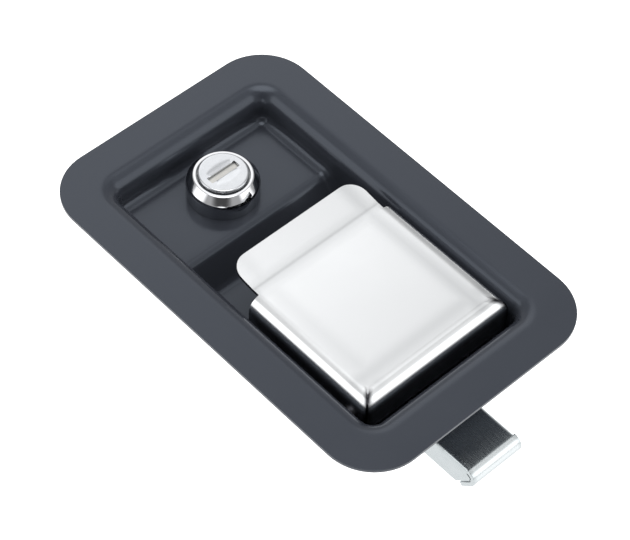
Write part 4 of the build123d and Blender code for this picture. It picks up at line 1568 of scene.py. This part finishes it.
@dataclass(frozen=True)
class Studio:
    """Bright floor, soft light from all round and the photograph's camera."""

    floor_size: float = 6.0
    floor_gap: float = 0.0005
    floor_glow: float = 1.5
    floor_colour: tuple[float, float, float] = (0.1, 0.1, 0.1)
    floor_roughness: float = 0.8
    camera_mm: tuple[float, float, float] = (293.386, -303.018, 526.212)
    azimuth_deg: float = 44.0055
    elevation_deg: float = 51.7511
    roll_deg: float = 3.9315
    focal_px: float = 2363.6
    frame_px: int = 630
    sensor_mm: float = 36.0
    clip_m: tuple[float, float] = (0.01, 20.0)
    sky_level: float = 0.6
    lamps: tuple[Lamp, ...] = (
        Lamp(147, 41, 6, 22, 1.25),
        Lamp(160, 61, 5, 14, 0.3),
        Lamp(107, 63, 5, 14, 0.58),
        Lamp(36, 26, 12, 27, 1.7),
        Lamp(241, 26, 12, 27, 1.7),
        Lamp(314, 14, 4, 13, 1.6),
        Lamp(0, 90, 12, 25, 3.0),
        Lamp(217, 58, 4, 16, 0.35),
        Lamp(53, 57, 4, 16, 0.5),
        Lamp(314, 40, 14, 32, -0.5),
    )

    def floor(self) -> None:
        """Lays a pale glowing floor just under the lowest piece."""
        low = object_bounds()[0].z - self.floor_gap
        half = self.floor_size / 2
        mesh = bpy.data.meshes.new("floor")
        corners = [(-half, -half, low), (half, -half, low), (half, half, low), (-half, half, low)]
        mesh.from_pydata(corners, [], [(0, 1, 2, 3)])
        floor = bpy.data.objects.new("floor", mesh)
        bpy.context.scene.collection.objects.link(floor)
        paper = bpy.data.materials.new("white_paper")
        paper.use_nodes = True
        shader = paper.node_tree.nodes["Principled BSDF"]
        shader.inputs["Base Color"].default_value = (*self.floor_colour, 1.0)
        shader.inputs["Roughness"].default_value = self.floor_roughness
        shader.inputs["Emission Color"].default_value = WHITE
        shader.inputs["Emission Strength"].default_value = self.floor_glow
        mesh.materials.append(paper)
        floor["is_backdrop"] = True

    def light(self) -> None:
        """Sets an even sky with soft lamps: each adds its level, faded by the angle from its middle."""
        world = bpy.data.worlds.new("soft_sky")
        bpy.context.scene.world = world
        world.use_nodes = True
        nodes, links = world.node_tree.nodes, world.node_tree.links
        place = nodes.new("ShaderNodeTexCoord")
        total = nodes.new("ShaderNodeValue").outputs["Value"]
        total.default_value = self.sky_level
        for lamp in self.lamps:
            near = nodes.new("ShaderNodeVectorMath")
            near.operation = "DOT_PRODUCT"
            near.inputs[1].default_value = lamp.towards()
            fade = nodes.new("ShaderNodeMapRange")
            fade.interpolation_type = "SMOOTHSTEP"
            fade.inputs["From Min"].default_value = np.cos(np.radians(lamp.outer_deg))
            fade.inputs["From Max"].default_value = np.cos(np.radians(lamp.inner_deg))
            fade.inputs["To Max"].default_value = lamp.level
            add = nodes.new("ShaderNodeMath")
            links.new(place.outputs["Generated"], near.inputs[0])
            links.new(near.outputs["Value"], fade.inputs["Value"])
            links.new(total, add.inputs[0])
            links.new(fade.outputs["Result"], add.inputs[1])
            total = add.outputs["Value"]
        links.new(total, nodes["Background"].inputs["Strength"])
        nodes["Background"].inputs["Color"].default_value = WHITE

    def camera(self) -> None:
        """Places the camera by its azimuth, elevation and roll, with the photograph's lens."""
        a, e, r = np.radians([self.azimuth_deg, self.elevation_deg, self.roll_deg])
        back = np.array([np.sin(a) * np.cos(e), -np.cos(a) * np.cos(e), np.sin(e)])
        level = np.array([np.cos(a), np.sin(a), 0.0])
        upright = np.cross(back, level)
        right = level * np.cos(r) + upright * np.sin(r)
        up = np.cross(back, right)
        lens = bpy.data.cameras.new("photo_camera")
        lens.sensor_fit = "HORIZONTAL"
        lens.sensor_width = self.sensor_mm
        lens.lens = self.focal_px * self.sensor_mm / self.frame_px
        lens.clip_start, lens.clip_end = self.clip_m
        camera = bpy.data.objects.new("photo_camera", lens)
        turned = Matrix(np.column_stack([right, up, back]).tolist()).to_4x4()
        turned.translation = [v * MM for v in self.camera_mm]
        camera.matrix_world = turned
        bpy.context.scene.collection.objects.link(camera)
        bpy.context.scene.camera = camera

    def build(self) -> None:
        """Sets up the whole studio."""
        self.floor()
        self.light()
        self.camera()
        bpy.context.scene.view_settings.view_transform = "Standard"


def main() -> None:
    """Builds every sub-assembly and the studio."""
    logging.basicConfig(level=logging.INFO, format="%(message)s")
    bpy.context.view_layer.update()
    for part in (Tray(), Paddle(), Bolt(), Lock(), Fixings(), Springs(), PlainParts()):
        part.build()
    Studio().build()


if __name__ == "__main__":
    main()
